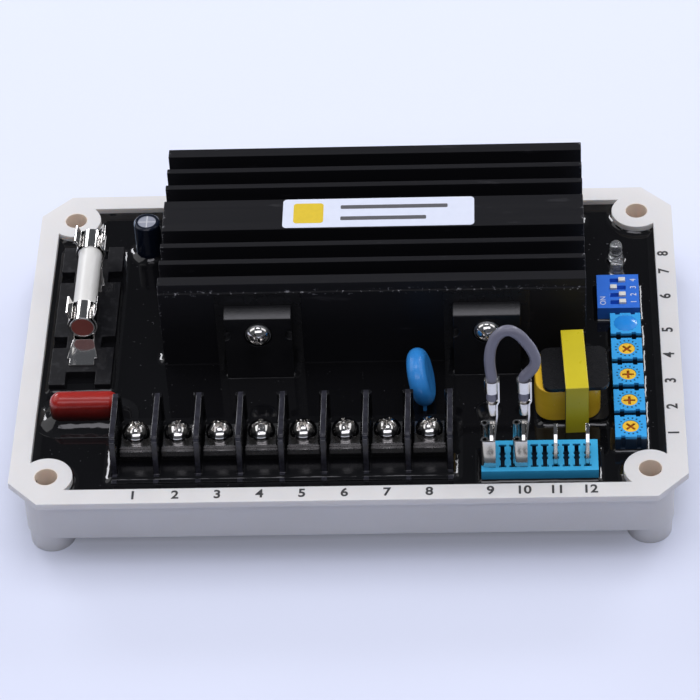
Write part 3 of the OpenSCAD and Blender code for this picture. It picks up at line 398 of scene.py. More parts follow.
def round_corners(part, radius):
    """Rounds the upright edges of a box."""
    pick_edges(part, lambda a, b: abs(a.z - b.z) > ink_t / 2)
    bpy.ops.mesh.bevel(offset=radius, segments=corner_segments, affect="EDGES")
    leave_edit()


level = 0.9


def faces_up(face):
    return face.normal.z > level


def faces_down(face):
    return face.normal.z < -level


creep_steps = 6
creep_root = 0.5 * mm
creep_sink = 0.01 * mm
creep_slope = radians(38)
creep_turn = creep_slope / creep_steps
creep_shading = 50
lip_segments = 4
ring_sides = 48
middle_room = 0.1 * mm


def creep_arc(step, reach):
    """Place on the hollow curve after a number of steps: how far in from the outer edge, and how high."""
    radius = reach / sin(creep_slope)
    return radius * sin(step * creep_turn), radius * (1 - cos(step * creep_turn))


def in_middle(face, middle):
    return (face.center.xy - middle).length < middle_room


def open_ring(part, middle):
    """Joins the inner faces above and below, so that a block becomes a ring."""
    pick_faces(part, lambda face: (faces_up(face) or faces_down(face)) and in_middle(face, middle))
    bpy.ops.mesh.bridge_edge_loops()
    leave_edit()


def climb(part, name, middle, reach):
    """Draws the top of a low block up in a hollow curve and opens its middle."""
    pick_faces(part, faces_down)
    bpy.ops.mesh.inset(thickness=reach, use_even_offset=True)
    leave_edit()
    pick_faces(part, lambda face: faces_up(face) and in_middle(face, middle))
    for step in range(creep_steps):
        inward, upward = Vector(creep_arc(step + 1, reach)) - Vector(creep_arc(step, reach))
        bpy.ops.mesh.inset(thickness=inward, depth=upward, use_even_offset=True)
    leave_edit()
    open_ring(part, middle)
    smooth(part, creep_shading)
    place_piece(part, name, wet)
    return part


def creep(name, low, high, corner, reach, lip=0.0):
    """Resin drawn up round a square foot, with a round lip at its outer edge where one is given."""
    top = resin_z - creep_sink + lip
    part = box_piece(
        (low[0] - reach, low[1] - reach, resin_z - creep_root), (high[0] + reach, high[1] + reach, top),
    )
    round_corners(part, corner + reach)
    if lip:
        pick_edges(part, lambda a, b: min(a.z, b.z) > top - creep_sink)
        bpy.ops.mesh.bevel(offset=lip, segments=lip_segments, affect="EDGES")
        leave_edit()
    climb(part, name, (Vector(low) + Vector(high)) / 2, reach)


def round_creep(name, middle, radius, reach):
    """Resin drawn up round a round foot."""
    bpy.ops.object.select_all(action="DESELECT")
    bpy.ops.mesh.primitive_cylinder_add(
        vertices=ring_sides, radius=radius + reach, depth=creep_root - creep_sink,
        location=(*middle, resin_z - (creep_root + creep_sink) / 2),
    )
    part = bpy.context.object
    bpy.ops.object.transform_apply(location=True, rotation=True, scale=True)
    return climb(part, name, Vector(middle), reach)


def plan(node, low_front=0.0):
    """Outline of a foot, with its front moved in where the resin stands low there."""
    low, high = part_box(node)
    return (low.x, low.y + low_front), (high.x, high.y)


creep("creep_fuse_holder", *plan("fuse_holder_base"), corner=0.2 * mm, reach=1.6 * mm)
creep("creep_terminal_block", *plan("terminal_block", low_front=1.6 * mm), corner=0.2 * mm, reach=2.2 * mm)
creep("creep_tab_housing", *plan("tab_housing"), corner=0.2 * mm, reach=1.6 * mm)
creep("creep_coding_switch", *plan("coding_switch"), corner=0.2 * mm, reach=1.2 * mm)
creep("creep_film_capacitor", *plan("film_capacitor"), corner=1.8 * mm, reach=4.2 * mm, lip=0.15 * mm)
creep("creep_transformer", *plan("transformer_bobbin"), corner=1.0 * mm, reach=1.8 * mm)
for number in range(1, 6):
    creep(f"creep_trimmer_{number}", *plan(f"trimmer_body_{number}"), corner=0.3 * mm, reach=1.3 * mm)
for side in ("left", "right"):
    foot = plan(f"power_device_{side}", low_front=1.2 * mm)
    creep(f"creep_device_{side}", *foot, corner=0.2 * mm, reach=1.8 * mm)
for node, reach in (("electrolytic_sleeve", 2.2 * mm), ("lamp_rear", 1.0 * mm), ("lamp_front", 1.0 * mm)):
    low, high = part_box(node)
    round_creep(f"creep_{node}", (low.xy + high.xy) / 2, (high.x - low.x) / 2, reach)

heat_low, heat_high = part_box("heat_sink")
heat_wall = 3.3 * mm
heat_low_front = 1.4 * mm
for name, front in (("front", heat_low.y), ("back", heat_high.y - heat_wall)):
    creep(
        f"creep_heat_sink_{name}", (heat_low.x, front + heat_low_front), (heat_high.x, front + heat_wall),
        corner=0.2 * mm, reach=2.0 * mm,
    )

post_r = 6 * mm
post_reach = 1.5 * mm
for number, (side_x, side_y) in enumerate([(-1, -1), (1, -1), (-1, 1), (1, 1)], start=1):
    post = Vector((side_x * hole_x, side_y * hole_y))
    ring = round_creep(f"creep_post_{number}", post, post_r, post_reach)
    for wall in (Vector((side_x * resin_high.x, 0, 0)), Vector((0, side_y * resin_high.y, 0))):
        edit_all(ring)
        bpy.ops.mesh.bisect(plane_co=wall, plane_no=wall.normalized(), use_fill=True, clear_outer=True)
        leave_edit()

wall_reach = 1.6 * mm
wall_rise = wall_reach * tan(creep_slope / 2)
wall_creep = box_piece(
    (resin_low.x, resin_low.y, resin_z - creep_root), (resin_high.x, resin_high.y, resin_z + wall_rise),
)
pick_faces(wall_creep, faces_down)
bpy.ops.mesh.inset(thickness=wall_reach)
leave_edit()
pick_faces(wall_creep, faces_up)
for step in range(creep_steps, 0, -1):
    inward, downward = Vector(creep_arc(step, wall_reach)) - Vector(creep_arc(step - 1, wall_reach))
    bpy.ops.mesh.inset(thickness=inward, depth=-downward, use_even_offset=True)
leave_edit()
open_ring(wall_creep, (resin_low.xy + resin_high.xy) / 2)
smooth(wall_creep, creep_shading)
place_piece(wall_creep, "creep_tray_wall", wet)


# Heat sink
# One length of aluminium extrusion, black anodised after it was sawn: fins, a flat crown and two walls.
# Handling has rubbed the coat off in specks along the front lip and at the sawn ends.
anodised = Finish("black_anodised", {"IOR": 1.4, "Specular IOR Level": 0.3})
drawn = anodised.noise(700, 2, (0.02, 1.0, 1.0))
heat_middle = middle_of("heat_sink")
worn_end = 0.8 * mm
from_end = (heat_high.x - heat_low.x) / 2 - abs(anodised.axis("X") - heat_middle.x)
near_end = 1 - anodised.mask(from_end, 0.0, worn_end)
front_face = 0.1 * mm
heat_points = [vertex.co for vertex in frame["nodes"]["heat_sink"].data.vertices]
lip_z = max(point.z for point in heat_points if point.y < heat_low.y + front_face)
worn_depth = 0.3 * mm
worn_height = 0.5 * mm
worn_fade = 0.4 * mm
on_front = 1 - anodised.mask(anodised.axis("Y"), heat_low.y + worn_depth, heat_low.y + 2 * worn_depth)
at_lip = 1 - anodised.mask(abs(anodised.axis("Z") - lip_z), worn_height, worn_height + worn_fade)
near_lip = on_front * at_lip
speck = anodised.mask(anodised.noise(1300, 4), 0.60, 0.72)
scuff = anodised.mask(anodised.noise(420, 4, (0.25, 1.0, 1.0)), 0.66, 0.74)
rubbed = speck * near_end.maths("MAXIMUM", near_lip, near_end) + 0.04 * scuff
anodised.feed("Base Color", anodised.mix(rubbed, (0.007, 0.007, 0.0088), (0.30, 0.30, 0.32)))
anodised.feed("Roughness", 0.40 + 0.2 * drawn)
anodised.bump(drawn, depth=0.02 * mm)
eased("heat_sink", anodised, edge=0.18 * mm)


# Label on the crown
# A white paper label with round corners, with a plain yellow field and two grey bars.
# It is glued along the crown between the two groups of fins.
paper = Finish("white_paper", {"Roughness": 0.42})
paper.feed("Base Color", paper.mix(paper.noise(500, 3), (0.63, 0.67, 0.79), (0.70, 0.74, 0.86)))
crown_y = heat_middle.y
crown_z = heat_high.z
label_x = 6.85 * mm
label_l = 44.7 * mm
label_w = 10.1 * mm
label_t = 0.1 * mm


def sheet_piece(name, finish, foot, size, thick, corner):
    """A thin flat piece with round corners, given by the middle of its underside."""
    half = Vector((size[0] / 2, size[1] / 2, 0))
    part = box_piece(Vector(foot) - half, Vector(foot) + half + Vector((0, 0, thick)))
    round_corners(part, corner)
    smooth(part)
    place_piece(part, name, finish)


sheet_piece("crown_label", paper, (label_x, crown_y, crown_z), (label_l, label_w), label_t, corner=1.0 * mm)


def print_finish(name, colour):
    """Ink of one colour, a little darker in places."""
    finish = Finish(name, {"Roughness": 0.5})
    darker = tuple(0.85 * channel for channel in colour)
    finish.feed("Base Color", finish.mix(finish.noise(900), darker, colour))
    return finish


label_yellow = print_finish("label_yellow", (0.72, 0.52, 0.03))
label_grey = print_finish("label_grey", (0.10, 0.10, 0.11))
print_z = crown_z + label_t + ink_gap
field_w = 7.0 * mm
field_inset = 6.0 * mm
field_x = label_x - label_l / 2 + field_inset
spot = (field_x, crown_y, print_z)
sheet_piece("label_field", label_yellow, spot, (field_w, field_w), ink_t, corner=0.8 * mm)
bar_w = 1.3 * mm
bar_gap = 7.5 * mm
bar_y = 2.0 * mm
for number, (side, bar_l) in enumerate([(1, 25.0 * mm), (-1, 20.0 * mm)], start=1):
    spot = (field_x + bar_gap + bar_l / 2, crown_y + side * bar_y, print_z)
    sheet_piece(f"label_bar_{number}", label_grey, spot, (bar_l, bar_w), ink_t, corner=0.3 * mm)


# Power devices and their insulation
# Two black moulded packages clamped to the front wall of the heat sink over thin grey films.
# Each is held by a nickel-plated screw and a spring washer.
epoxy = Finish("black_epoxy", {"IOR": 1.5})
epoxy.feed("Base Color", epoxy.mix(epoxy.noise(300, 3), (0.006, 0.006, 0.007), (0.01, 0.01, 0.0115)))
epoxy.feed("Roughness", 0.18 + 0.1 * epoxy.noise(1500))
epoxy.bump(epoxy.noise(2600, 2), depth=0.01 * mm)
for side in ("left", "right"):
    eased(f"power_device_{side}", epoxy, edge=0.2 * mm)

film = Finish("grey_film", {"IOR": 1.5})
film.feed("Base Color", film.mix(film.noise(120), (0.006, 0.006, 0.007), (0.012, 0.012, 0.013)))
film.feed("Roughness", 0.22 + 0.1 * film.noise(300))
dress("insulating_films", film)

nickel = Finish("nickel_plate", {"Metallic": 1.0})
nickel.feed("Base Color", nickel.mix(nickel.noise(350, 3), (0.72, 0.70, 0.68), (0.82, 0.805, 0.785)))
nickel.feed("Roughness", 0.05 + 0.1 * nickel.noise(900, 3))
nickel.bump(nickel.noise(700, 2), depth=0.008 * mm)
eased("device_screws", nickel, edge=0.08 * mm)

zinc = Finish("zinc_plate", {"Metallic": 1.0})
zinc.feed("Base Color", zinc.mix(zinc.noise(800, 3), (0.42, 0.42, 0.42), (0.60, 0.60, 0.60)))
zinc.feed("Roughness", 0.3 + 0.15 * zinc.noise(1200))
eased("device_washers", zinc, edge=0.1 * mm)


# Terminal block
# One black moulding with nine barriers and a seat for each pole between them.
# The narrow edges of the barriers are painted lighter in patches, as a painted sheen.
barrier = Finish("black_moulding", {"IOR": 1.5, "Specular IOR Level": 0.4})
to_barrier = (barrier.axis("X") - block_low.x + (pole_pitch - barrier_t) / 2) % pole_pitch - pole_pitch / 2
edge_half = 0.36 * barrier_t
edge_fade = 0.10 * barrier_t
edge_face = 1 - barrier.mask(abs(to_barrier), edge_half, edge_half + edge_fade)
# Painted sheen: the narrow faces within each barrier's thickness are lighter, patchy with noise.
painted_edge_sheen = edge_face * (0.25 + 0.4 * barrier.mask(barrier.noise(900, 4), 0.40, 0.70))
barrier.feed("Base Color", barrier.mix(painted_edge_sheen, (0.004, 0.004, 0.005), (0.05, 0.05, 0.068)))
barrier.feed("Roughness", 0.16 + 0.12 * barrier.noise(700))
barrier.bump(barrier.noise(1700, 2), depth=0.015 * mm)
eased("terminal_block", barrier, edge=0.22 * mm)


# Contacts and clamps of the terminal block
# Plated contact plates folded over the seats, and clamp plates on them under domed nickel screws.
# The plates were stamped from sheet and are duller than the screws, painted a dark metal colour as painted
# shade between the barriers, and the screws were cold headed.
# So all their edges are slightly round.
# Painted shade: the plates' metal colour is darkened for the shade they lie in between the barriers.
dull = Finish("shade_darkened_plate", {"Metallic": 1.0})
dull.feed("Base Color", dull.mix(dull.noise(500, 3), (0.20, 0.195, 0.195), (0.34, 0.335, 0.33)))
dull.feed("Roughness", 0.2 + 0.15 * dull.noise(900, 3))
dull.bump(dull.noise(900, 2), depth=0.012 * mm)
eased("contact_plates", dull, edge=0.1 * mm)
eased("clamp_plates", dull, edge=0.08 * mm)
eased("terminal_screws", nickel, edge=0.09 * mm)


# Fuse and its holder
# A ceramic fuse with nickel caps, gripped by two spring clips that are riveted to a dull black base.
# The clips are bent from sheet, the base is scuffed, and the end of the front cap is coloured red-brown, not
# metal.
base = Finish("dull_black_moulding", {"IOR": 1.48, "Specular IOR Level": 0.3})
worn = base.mask(base.noise(520, 4), 0.52, 0.68)
base.feed("Base Color", base.mix(0.3 * worn, (0.006, 0.006, 0.0075), (0.045, 0.045, 0.05)))
base.feed("Roughness", 0.38 + 0.2 * base.noise(800))
base.bump(base.noise(1400, 3), depth=0.03 * mm)
eased("fuse_holder_base", base, edge=0.2 * mm)

cap = Finish("fuse_cap_plate", {})
cap_middle = middle_of("fuse_cap_front")
cap_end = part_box("fuse_cap_front")[0].y
end_disc_t = 0.04 * mm
end_disc_r = 2.55 * mm
end_disc_fade = 0.15 * mm
turned = cap.noise(300, 3, (0.1, 10.0, 0.1))
from_axis = (cap.axis("X") - cap_middle.x).hypot(cap.axis("Z") - cap_middle.z)
# The end of the front cap is coloured red-brown inside a circle, not metallic and with less shine.
on_end = 1 - cap.mask(cap.axis("Y"), cap_end + end_disc_t, cap_end + 2 * end_disc_t)
red_end_disc = on_end * (1 - cap.mask(from_axis, end_disc_r, end_disc_r + end_disc_fade))
plated = cap.mix(turned, (0.68, 0.665, 0.645), (0.80, 0.785, 0.765))
cap.feed("Base Color", cap.mix(red_end_disc, plated, (0.21, 0.04, 0.03)))
cap.feed("Metallic", 1 - red_end_disc)
cap.feed("Roughness", 0.1 + 0.08 * turned + 0.2 * red_end_disc)
cap.bump(turned, depth=0.006 * mm)
for end in ("rear", "front"):
    eased(f"fuse_clip_{end}", nickel, edge=0.1 * mm)
    eased(f"fuse_cap_{end}", cap, edge=0.12 * mm, segments=3)

ceramic = Finish("white_ceramic", {"IOR": 1.5})
ceramic.feed("Base Color", ceramic.mix(ceramic.noise(200, 4), (0.68, 0.67, 0.645), (0.78, 0.775, 0.75)))
ceramic.feed("Roughness", 0.3 + 0.15 * ceramic.noise(900))
ceramic.bump(ceramic.noise(1500, 2), depth=0.012 * mm)
eased("fuse_tube", ceramic)


# Electrolytic capacitor
# An aluminium can with a scored vent in its end, whose cross is a painted highlight, in a dark blue shrink
# sleeve with a painted reflection down its left side.
# The sleeve is drawn in over the shoulder of the can.
can = middle_of("electrolytic_can")
score_half = 0.08 * mm
score_edge = 0.2 * mm
aluminium = Finish("bare_aluminium", {"Metallic": 0.4})
score_x = abs(aluminium.axis("X") - can.x)
score_y = abs(aluminium.axis("Y") - can.y)
# Painted highlight: the cross of the scored vent is painted pale on a darker can end.
painted_vent_highlight = 1 - aluminium.mask(score_x.maths("MINIMUM", score_x, score_y), score_half, score_edge)
aluminium.feed("Base Color", aluminium.mix(painted_vent_highlight, (0.40, 0.42, 0.50), (0.75, 0.76, 0.80)))
aluminium.feed("Roughness", 0.4 + 0.15 * aluminium.noise(900))
eased("electrolytic_can", aluminium, edge=0.1 * mm)

sleeve = Finish("blue_sleeve", {"IOR": 1.5})
band_start = 2.75 * mm
band_fade = 0.1 * mm
# Painted reflection: the sleeve is painted paler down its left side.
painted_reflection_band = sleeve.mask(can.x - sleeve.axis("X"), band_start, band_start + band_fade)
sleeve.feed("Base Color", sleeve.mix(0.8 * painted_reflection_band, (0.006, 0.010, 0.022), (0.20, 0.26, 0.36)))
sleeve.feed("Roughness", 0.16 + 0.12 * sleeve.noise(700))
sleeve.bump(sleeve.noise(240, 3), depth=0.05 * mm)
eased("electrolytic_sleeve", sleeve, edge=0.12 * mm)


# Film capacitor and varistor
# A wound capacitor dipped in brick-red epoxy and a disc dipped in blue epoxy, both with thick round edges.
# The coats ran a little before they set, so they are lumpy, and the red one is painted dark towards its foot
# as painted shade.
brick = Finish("red_epoxy", {"IOR": 1.5, "Coat Weight": 0.3, "Coat Roughness": 0.06})
dipped = brick.mix(brick.noise(260, 3), (0.28, 0.010, 0.006), (0.38, 0.015, 0.009))
# Painted shade: the red coat darkens towards its foot, along a wandering edge.
shade_low = resin_z + 3.0 * mm
shade_high = resin_z + 7.0 * mm
shade_wander = 1.6 * mm
painted_foot_shade = 1 - brick.mask(brick.axis("Z") + shade_wander * brick.noise(200), shade_low, shade_high)
brick.feed("Base Color", brick.mix(painted_foot_shade, dipped, (0.02, 0.003, 0.003)))
brick.feed("Roughness", 0.26 + 0.1 * brick.noise(500))
brick.bump(brick.noise(170, 2), depth=0.35 * mm)
eased("film_capacitor", brick)

azure = Finish("blue_epoxy", {"IOR": 1.5})
azure.feed("Base Color", azure.mix(azure.noise(220, 3), (0.025, 0.20, 0.58), (0.04, 0.29, 0.74)))
azure.feed("Roughness", 0.2 + 0.1 * azure.noise(500))
azure.bump(azure.noise(190, 2), depth=0.3 * mm)
eased("varistor", azure)


# Tab housing and blade tabs
# A cyan moulding with a row of shaped slots, painted dark inside as painted shade, that stands in the resin.
# Four tabs stamped from tin-plated sheet are pressed into every third slot.
cyan = Finish("cyan_moulding", {"IOR": 1.5})
housing_low, housing_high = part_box("tab_housing")
housing = middle_of("tab_housing")
half_x = (housing_high.x - housing_low.x) / 2
half_y = (housing_high.y - housing_low.y) / 2
outer_wall = 0.5 * mm
wall_fade = 0.2 * mm
slot_top = housing_high.z - 0.6 * mm
slot_fade = 0.3 * mm
from_x = abs(cyan.axis("X") - housing.x)
from_y = abs(cyan.axis("Y") - housing.y)
inside_x = 1 - cyan.mask(from_x, half_x - outer_wall, half_x - outer_wall + wall_fade)
inside_y = 1 - cyan.mask(from_y, half_y - outer_wall, half_y - outer_wall + wall_fade)
below_top = 1 - cyan.mask(cyan.axis("Z"), slot_top, slot_top + slot_fade)
# Painted shade: the walls are painted darker towards the resin.
painted_low_shade = 1 - cyan.mask(cyan.axis("Z"), resin_z, housing_high.z - outer_wall)
moulded = cyan.mix(cyan.noise(240, 3), (0.030, 0.36, 0.66), (0.045, 0.44, 0.78))
shaded = cyan.mix(0.55 * painted_low_shade, moulded, (0.012, 0.10, 0.21))
# Painted shade: within the outer walls and below the top, the moulding is painted near black.
cyan.feed("Base Color", cyan.mix(inside_x * inside_y * below_top, shaded, (0.004, 0.014, 0.03)))
cyan.feed("Roughness", 0.34 + 0.14 * cyan.noise(900))
cyan.bump(cyan.noise(1500, 2), depth=0.015 * mm)
eased("tab_housing", cyan, edge=0.1 * mm)

tin = Finish("tin_plate", {"Metallic": 1.0})
tin.feed("Base Color", tin.mix(tin.noise(500, 3), (0.60, 0.59, 0.57), (0.74, 0.73, 0.71)))
tin.feed("Roughness", 0.1 + 0.12 * tin.noise(900, 3))
tin.bump(tin.noise(900, 2), depth=0.012 * mm)
eased("male_tabs", tin, edge=0.08 * mm)


# Jumper
# A short stranded wire in grey insulation with a rolled receptacle crimped on each end.
# The receptacles are bent from tin-plated sheet and pushed on the first two tabs.
# The route is in millimetres from the middle of the first tab, at the top of the housing.
for side in ("left", "right"):
    eased(f"receptacle_{side}", tin, edge=0.02 * mm)

tinned = Finish("tinned_strands", {"Metallic": 1.0})
tinned.feed("Base Color", tinned.mix(tinned.noise(1500), (0.50, 0.46, 0.42), (0.68, 0.65, 0.62)))
tinned.feed("Roughness", 0.3 + 0.1 * tinned.noise(2000))
dress("jumper_strands", tinned)

jacket = Finish("grey_insulation", {"IOR": 1.5})
jacket.feed("Base Color", jacket.mix(jacket.noise(200, 3), (0.14, 0.14, 0.185), (0.18, 0.18, 0.235)))
jacket.feed("Roughness", 0.26 + 0.12 * jacket.noise(700))
jacket.bump(jacket.noise(900, 2), depth=0.02 * mm)
wire_r = 1.25 * mm
wire_seam = 0.005 * mm
tab_t = 0.8 * mm
span = 7.14
lean = 0.3
wire_route = [
    (lean, 1.62, 16.2), (lean, 1.9, 19), (lean, 2.2, 22), (0, 2.7, 25), (0, 3.1, 28),
    (0.6, 3.5, 31), (2, 3.7, 33.6), (4, 3.8, 34.7), (6, 3.7, 33.8), (8, 3.4, 31.4),
    (9.4, 3.2, 28.8), (10, 2.9, 26.4), (9.5, 2.6, 24.6), (8.4, 2.4, 23.2),
    (span + lean, 2.2, 22), (span + lean, 1.9, 19), (span + lean, 1.62, 16.2),
]
first_tab = Vector((tabs_low.x + tab_t / 2, housing.y, housing_high.z))
path = bpy.data.curves.new("jumper_path", "CURVE")
path.dimensions = "3D"
path.bevel_depth = wire_r
path.bevel_resolution = 6
path.resolution_u = 8
path.use_fill_caps = True
spline = path.splines.new("BEZIER")
spline.bezier_points.add(len(wire_route) - 1)
for knot, point in zip(spline.bezier_points, wire_route):
    knot.co = first_tab + Vector(point) * mm
    knot.handle_left_type = "AUTO"
    knot.handle_right_type = "AUTO"
jumper = bpy.data.objects.new("jumper", path)
bpy.context.collection.objects.link(jumper)
take(jumper)
bpy.ops.object.convert(target="MESH")
close_seams(jumper, wire_seam)
smooth(jumper, angle=60)
place_piece(jumper, "jumper_insulation", jacket)
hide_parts("jumper_wire")


# Transformer
# A ferrite core wound round with yellow tape, on a black moulded bobbin.
# The winding is wrapped in amber tape, whose laps leave faint ridges.
ferrite = Finish("ferrite", {"IOR": 1.6})
ferrite.feed("Base Color", ferrite.mix(ferrite.noise(700, 4), (0.010, 0.010, 0.011), (0.022, 0.022, 0.023)))
ferrite.feed("Roughness", 0.5 + 0.2 * ferrite.noise(900))
dress("transformer_core", ferrite)

yellow = Finish("yellow_tape", {"IOR": 1.5})
yellow.feed("Base Color", yellow.mix(yellow.noise(160, 3), (0.52, 0.43, 0.016), (0.61, 0.51, 0.024)))
yellow.feed("Roughness", 0.24 + 0.12 * yellow.noise(600))
yellow.bump(yellow.noise(300, 3), depth=0.03 * mm)
eased("core_tape", yellow, edge=0.18 * mm, segments=3)

spool = Finish("bobbin_moulding", {"IOR": 1.5})
spool.feed("Base Color", spool.mix(spool.noise(500, 3), (0.006, 0.006, 0.007), (0.012, 0.012, 0.013)))
spool.feed("Roughness", 0.22 + 0.12 * spool.noise(900))
eased("transformer_bobbin", spool, edge=0.04 * mm)

amber = Finish("amber_tape", {"IOR": 1.5})
lap = amber.noise(420, 2, (0.12, 0.12, 1.0))
amber.feed("Base Color", amber.mix(lap, (0.58, 0.34, 0.016), (0.85, 0.54, 0.035)))
amber.feed("Roughness", 0.2 + 0.1 * amber.noise(700))
amber.bump(lap, depth=0.15 * mm)
eased("transformer_winding", amber, edge=0.4 * mm, segments=3)


# Coding switch
# A blue moulding with four slots, in each of which a white moulded lever slides from side to side.
# White figures are printed beside the levers.
cobalt = Finish("blue_moulding", {"IOR": 1.5})
cobalt.feed("Base Color", cobalt.mix(cobalt.noise(300, 3), (0.022, 0.14, 0.62), (0.032, 0.18, 0.74)))
cobalt.feed("Roughness", 0.34 + 0.14 * cobalt.noise(900))
cobalt.bump(cobalt.noise(1600, 2), depth=0.012 * mm)
eased("coding_switch", cobalt, edge=0.1 * mm)

white = Finish("white_moulding", {"IOR": 1.5})
white.feed("Base Color", white.mix(white.noise(600, 3), (0.66, 0.65, 0.60), (0.78, 0.77, 0.73)))
white.feed("Roughness", 0.35 + 0.12 * white.noise(900))
for number in range(1, 5):
    eased(f"switch_lever_{number}", white, edge=0.12 * mm)

white_ink = print_finish("white_ink", (0.75, 0.77, 0.82))
switch_low, switch_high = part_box("coding_switch")
switch_print_z = switch_high.z + ink_middle
switch_figure = 2.0 * mm
switch_word = 1.9 * mm
figure_x = switch_high.x - 1.3 * mm
word_x = switch_low.x + 1.4 * mm
word_y = switch_low.y + 2.6 * mm
for number in range(1, 5):
    spot = (figure_x, middle_of(f"switch_lever_{number}").y, switch_print_z)
    lettering(f"switch_figure_{number}", str(number), switch_figure, spot, white_ink, turn=90, weight=0.0)
spot = (word_x, word_y, switch_print_z)
lettering("switch_on", "ON", switch_word, spot, white_ink, turn=90, weight=0.0)


# Trimmers
# Five blue moulded bodies with a scale of fine marks round an orange rotor with a cross slot.
# The first one is sealed with a drop of blue lacquer.
sky = Finish("trimmer_moulding", {"IOR": 1.5})
dial = middle_of("trimmer_body_5")
dial_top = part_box("trimmer_body_5")[1].z
dial_pitch = middle_of("trimmer_body_4").y - dial.y
ticks = 16
tick_start = 2.25 * mm
tick_end = 2.7 * mm
tick_fade = 0.1 * mm
tick_half = 0.14
tick_soft = 0.06
dark_side = dial_top - 0.9 * mm
bright_top = dial_top - 0.5 * mm
dial_x = sky.axis("X") - dial.x
dial_y = (sky.axis("Y") - (dial.y - dial_pitch / 2)) % dial_pitch - dial_pitch / 2
dial_r = dial_x.hypot(dial_y)
swing = dial_x.maths("ARCTAN2", dial_y, dial_x) * (ticks / (2 * pi))
tick = 1 - sky.mask(abs(swing % 1 - 0.5), tick_half, tick_half + tick_soft)
past_start = sky.mask(dial_r, tick_start, tick_start + tick_fade)
past_end = sky.mask(dial_r, tick_end, tick_end + tick_fade)
blue = sky.mix(sky.noise(300, 3), (0.03, 0.33, 0.74), (0.045, 0.41, 0.86))
marked = sky.mix(tick * (past_start * (1 - past_end)), blue, (0.008, 0.03, 0.06))
# Painted shade: each body is painted near black on its sides, below its top.
lit = sky.mask(sky.axis("Z"), dark_side, bright_top)
sky.feed("Base Color", sky.mix(lit, (0.006, 0.02, 0.045), marked))
sky.feed("Roughness", 0.3 + 0.14 * sky.noise(900))

orange = Finish("rotor_moulding", {"IOR": 1.5})
rotor_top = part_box("trimmer_rotor_5")[1].z
slot_floor = rotor_top - 0.4 * mm
slot_lip = rotor_top - 0.15 * mm
# Painted shade: each rotor is painted darker below the lip of its cross slot.
painted_slot_shade = 1 - orange.mask(orange.axis("Z"), slot_floor, slot_lip)
golden = orange.mix(orange.noise(700, 3), (0.80, 0.46, 0.02), (0.90, 0.58, 0.05))
orange.feed("Base Color", orange.mix(painted_slot_shade, golden, (0.40, 0.10, 0.01)))
orange.feed("Roughness", 0.34 + 0.12 * orange.noise(900))

lacquer = Finish("blue_lacquer", {"IOR": 1.5})
lacquer.feed("Base Color", lacquer.mix(lacquer.noise(400), (0.015, 0.24, 0.72), (0.025, 0.30, 0.82)))
lacquer.feed("Roughness", 0.14 + 0.1 * lacquer.noise(600))
for number in range(1, 6):
    eased(f"trimmer_body_{number}", sky, edge=0.1 * mm)
    eased(f"trimmer_rotor_{number}", orange, edge=0.07 * mm)
eased("trimmer_seal", lacquer)


# Indicator lamps
# Two lamps cast in clear epoxy, with domed ends.
# They stand in a row in the resin, which crept up round their feet.
clear = Finish("clear_epoxy", {"IOR": 1.5, "Transmission Weight": 0.92, "Roughness": 0.04})
clear.feed("Base Color", clear.mix(clear.noise(200), (0.80, 0.82, 0.84), (0.88, 0.89, 0.90)))
for lamp in ("rear", "front"):
    eased(f"lamp_{lamp}", clear)


# Floor, light and camera
# A pale floor under soft panels: two above, one at each side, two strips behind and a long one in front.
# The camera stands in front of the terminals and looks down at about 43 degrees.
pale = Finish("pale_floor", {"Roughness": 0.9, "Specular IOR Level": 0.1, "Emission Strength": 0.17})
front_y = -0.1
back_y = 0.25
# Painted light: the floor is painted lighter towards the back.
far = pale.mask(pale.axis("Y"), front_y, back_y)
pale.feed("Base Color", pale.mix(far, (0.58, 0.61, 0.735), (0.62, 0.655, 0.775)))
seen = pale.node("LightPath", output="Is Camera Ray") + pale.node("LightPath", output="Is Glossy Ray")
seen = seen + pale.node("LightPath", output="Is Transmission Ray")
glow = pale.node("VectorMath", {"operation": "SCALE"}, {0: (0.78, 0.81, 0.96), "Scale": seen})
pale.feed("Emission Color", glow)
floor_w = 12.0
floor_gap = 0.02 * mm
floor_z = cad_box[0].z - floor_gap
bpy.ops.object.select_all(action="DESELECT")
bpy.ops.mesh.primitive_plane_add(size=floor_w, location=(0, 0, floor_z))
floor = bpy.context.object
floor.name = "floor"
floor.data.materials.append(pale.material)

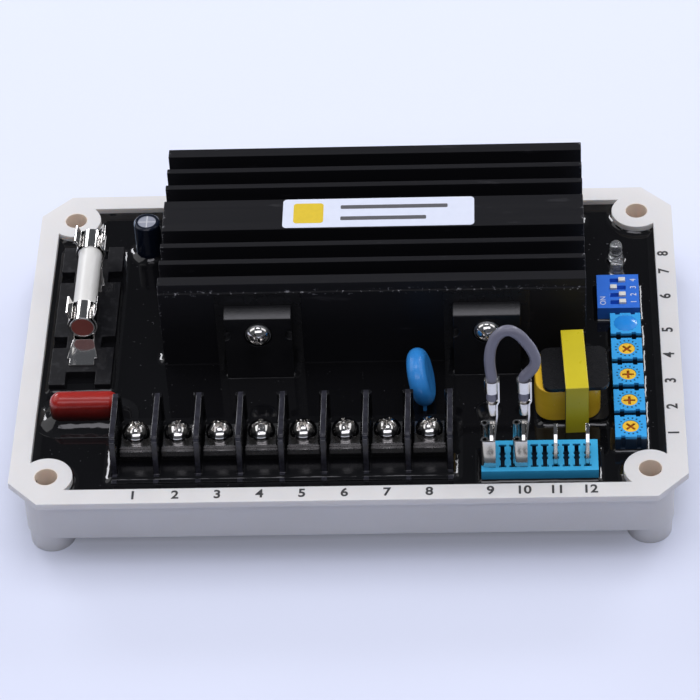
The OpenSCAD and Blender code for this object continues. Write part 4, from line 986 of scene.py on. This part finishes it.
scene = bpy.context.scene
scene.view_settings.view_transform = "Standard"
world = bpy.data.worlds.new("studio")
scene.world = world
world.use_nodes = True
sky_light = world.node_tree.nodes["Background"]
sky_light.inputs["Color"].default_value = (0.84, 0.89, 1.0, 1.0)
sky_light.inputs["Strength"].default_value = 0.1
lit_point = Vector((0, 0, 20 * mm))


def panel(name, place, size, watts, colour, mirrored=True):
    """A soft lamp aimed at the middle of the object, which glossy surfaces may mirror or not."""
    data = bpy.data.lights.new(name, "AREA")
    data.shape = "RECTANGLE"
    data.size, data.size_y = size
    data.energy = watts
    data.color = colour
    lamp = bpy.data.objects.new(name, data)
    lamp.location = place
    lamp.rotation_euler = (lit_point - Vector(place)).to_track_quat("-Z", "Y").to_euler()
    lamp.visible_glossy = mirrored
    bpy.context.collection.objects.link(lamp)


panel("top_panel", (0.03, 0.18, 0.95), (0.6, 0.6), watts=3.7, colour=(0.98, 0.985, 1.0), mirrored=False)
panel("zenith_panel", (0.0, -0.12, 1.0), (0.5, 0.28), watts=1.4, colour=(0.93, 0.92, 1.0))
panel("left_panel", (-0.72, 0.16, 0.66), (1.0, 0.8), watts=3.0, colour=(0.98, 0.98, 1.0))
panel("right_panel", (0.72, 0.16, 0.66), (1.0, 0.8), watts=2.6, colour=(0.98, 0.98, 1.0))
panel("left_strip", (-0.55, 0.75, 0.50), (0.4, 0.15), watts=2.2, colour=(0.95, 0.95, 1.0))
panel("right_strip", (0.55, 0.75, 0.50), (0.4, 0.15), watts=2.0, colour=(0.95, 0.95, 1.0))
panel("front_panel", (0.05, -0.75, 0.80), (1.2, 0.32), watts=2.4, colour=(0.92, 0.91, 1.0))

lens_px = 3599.3
picture_px = 700
camera_place = Vector((38.1, -618.1, 588.2)) * mm
camera_yaw = radians(3.57)
camera_pitch = radians(42.76)
camera_roll = radians(-3.37)
camera_data = bpy.data.cameras.new("camera")
camera_data.sensor_width = 36.0
camera_data.lens = lens_px * camera_data.sensor_width / picture_px
camera = bpy.data.objects.new("camera", camera_data)
bpy.context.collection.objects.link(camera)
camera.matrix_world = (
    Matrix.Translation(camera_place)
    @ Matrix.Rotation(camera_yaw, 4, "Z")
    @ Matrix.Rotation(pi / 2 - camera_pitch, 4, "X")
    @ Matrix.Rotation(camera_roll, 4, "Z")
)
scene.camera = camera
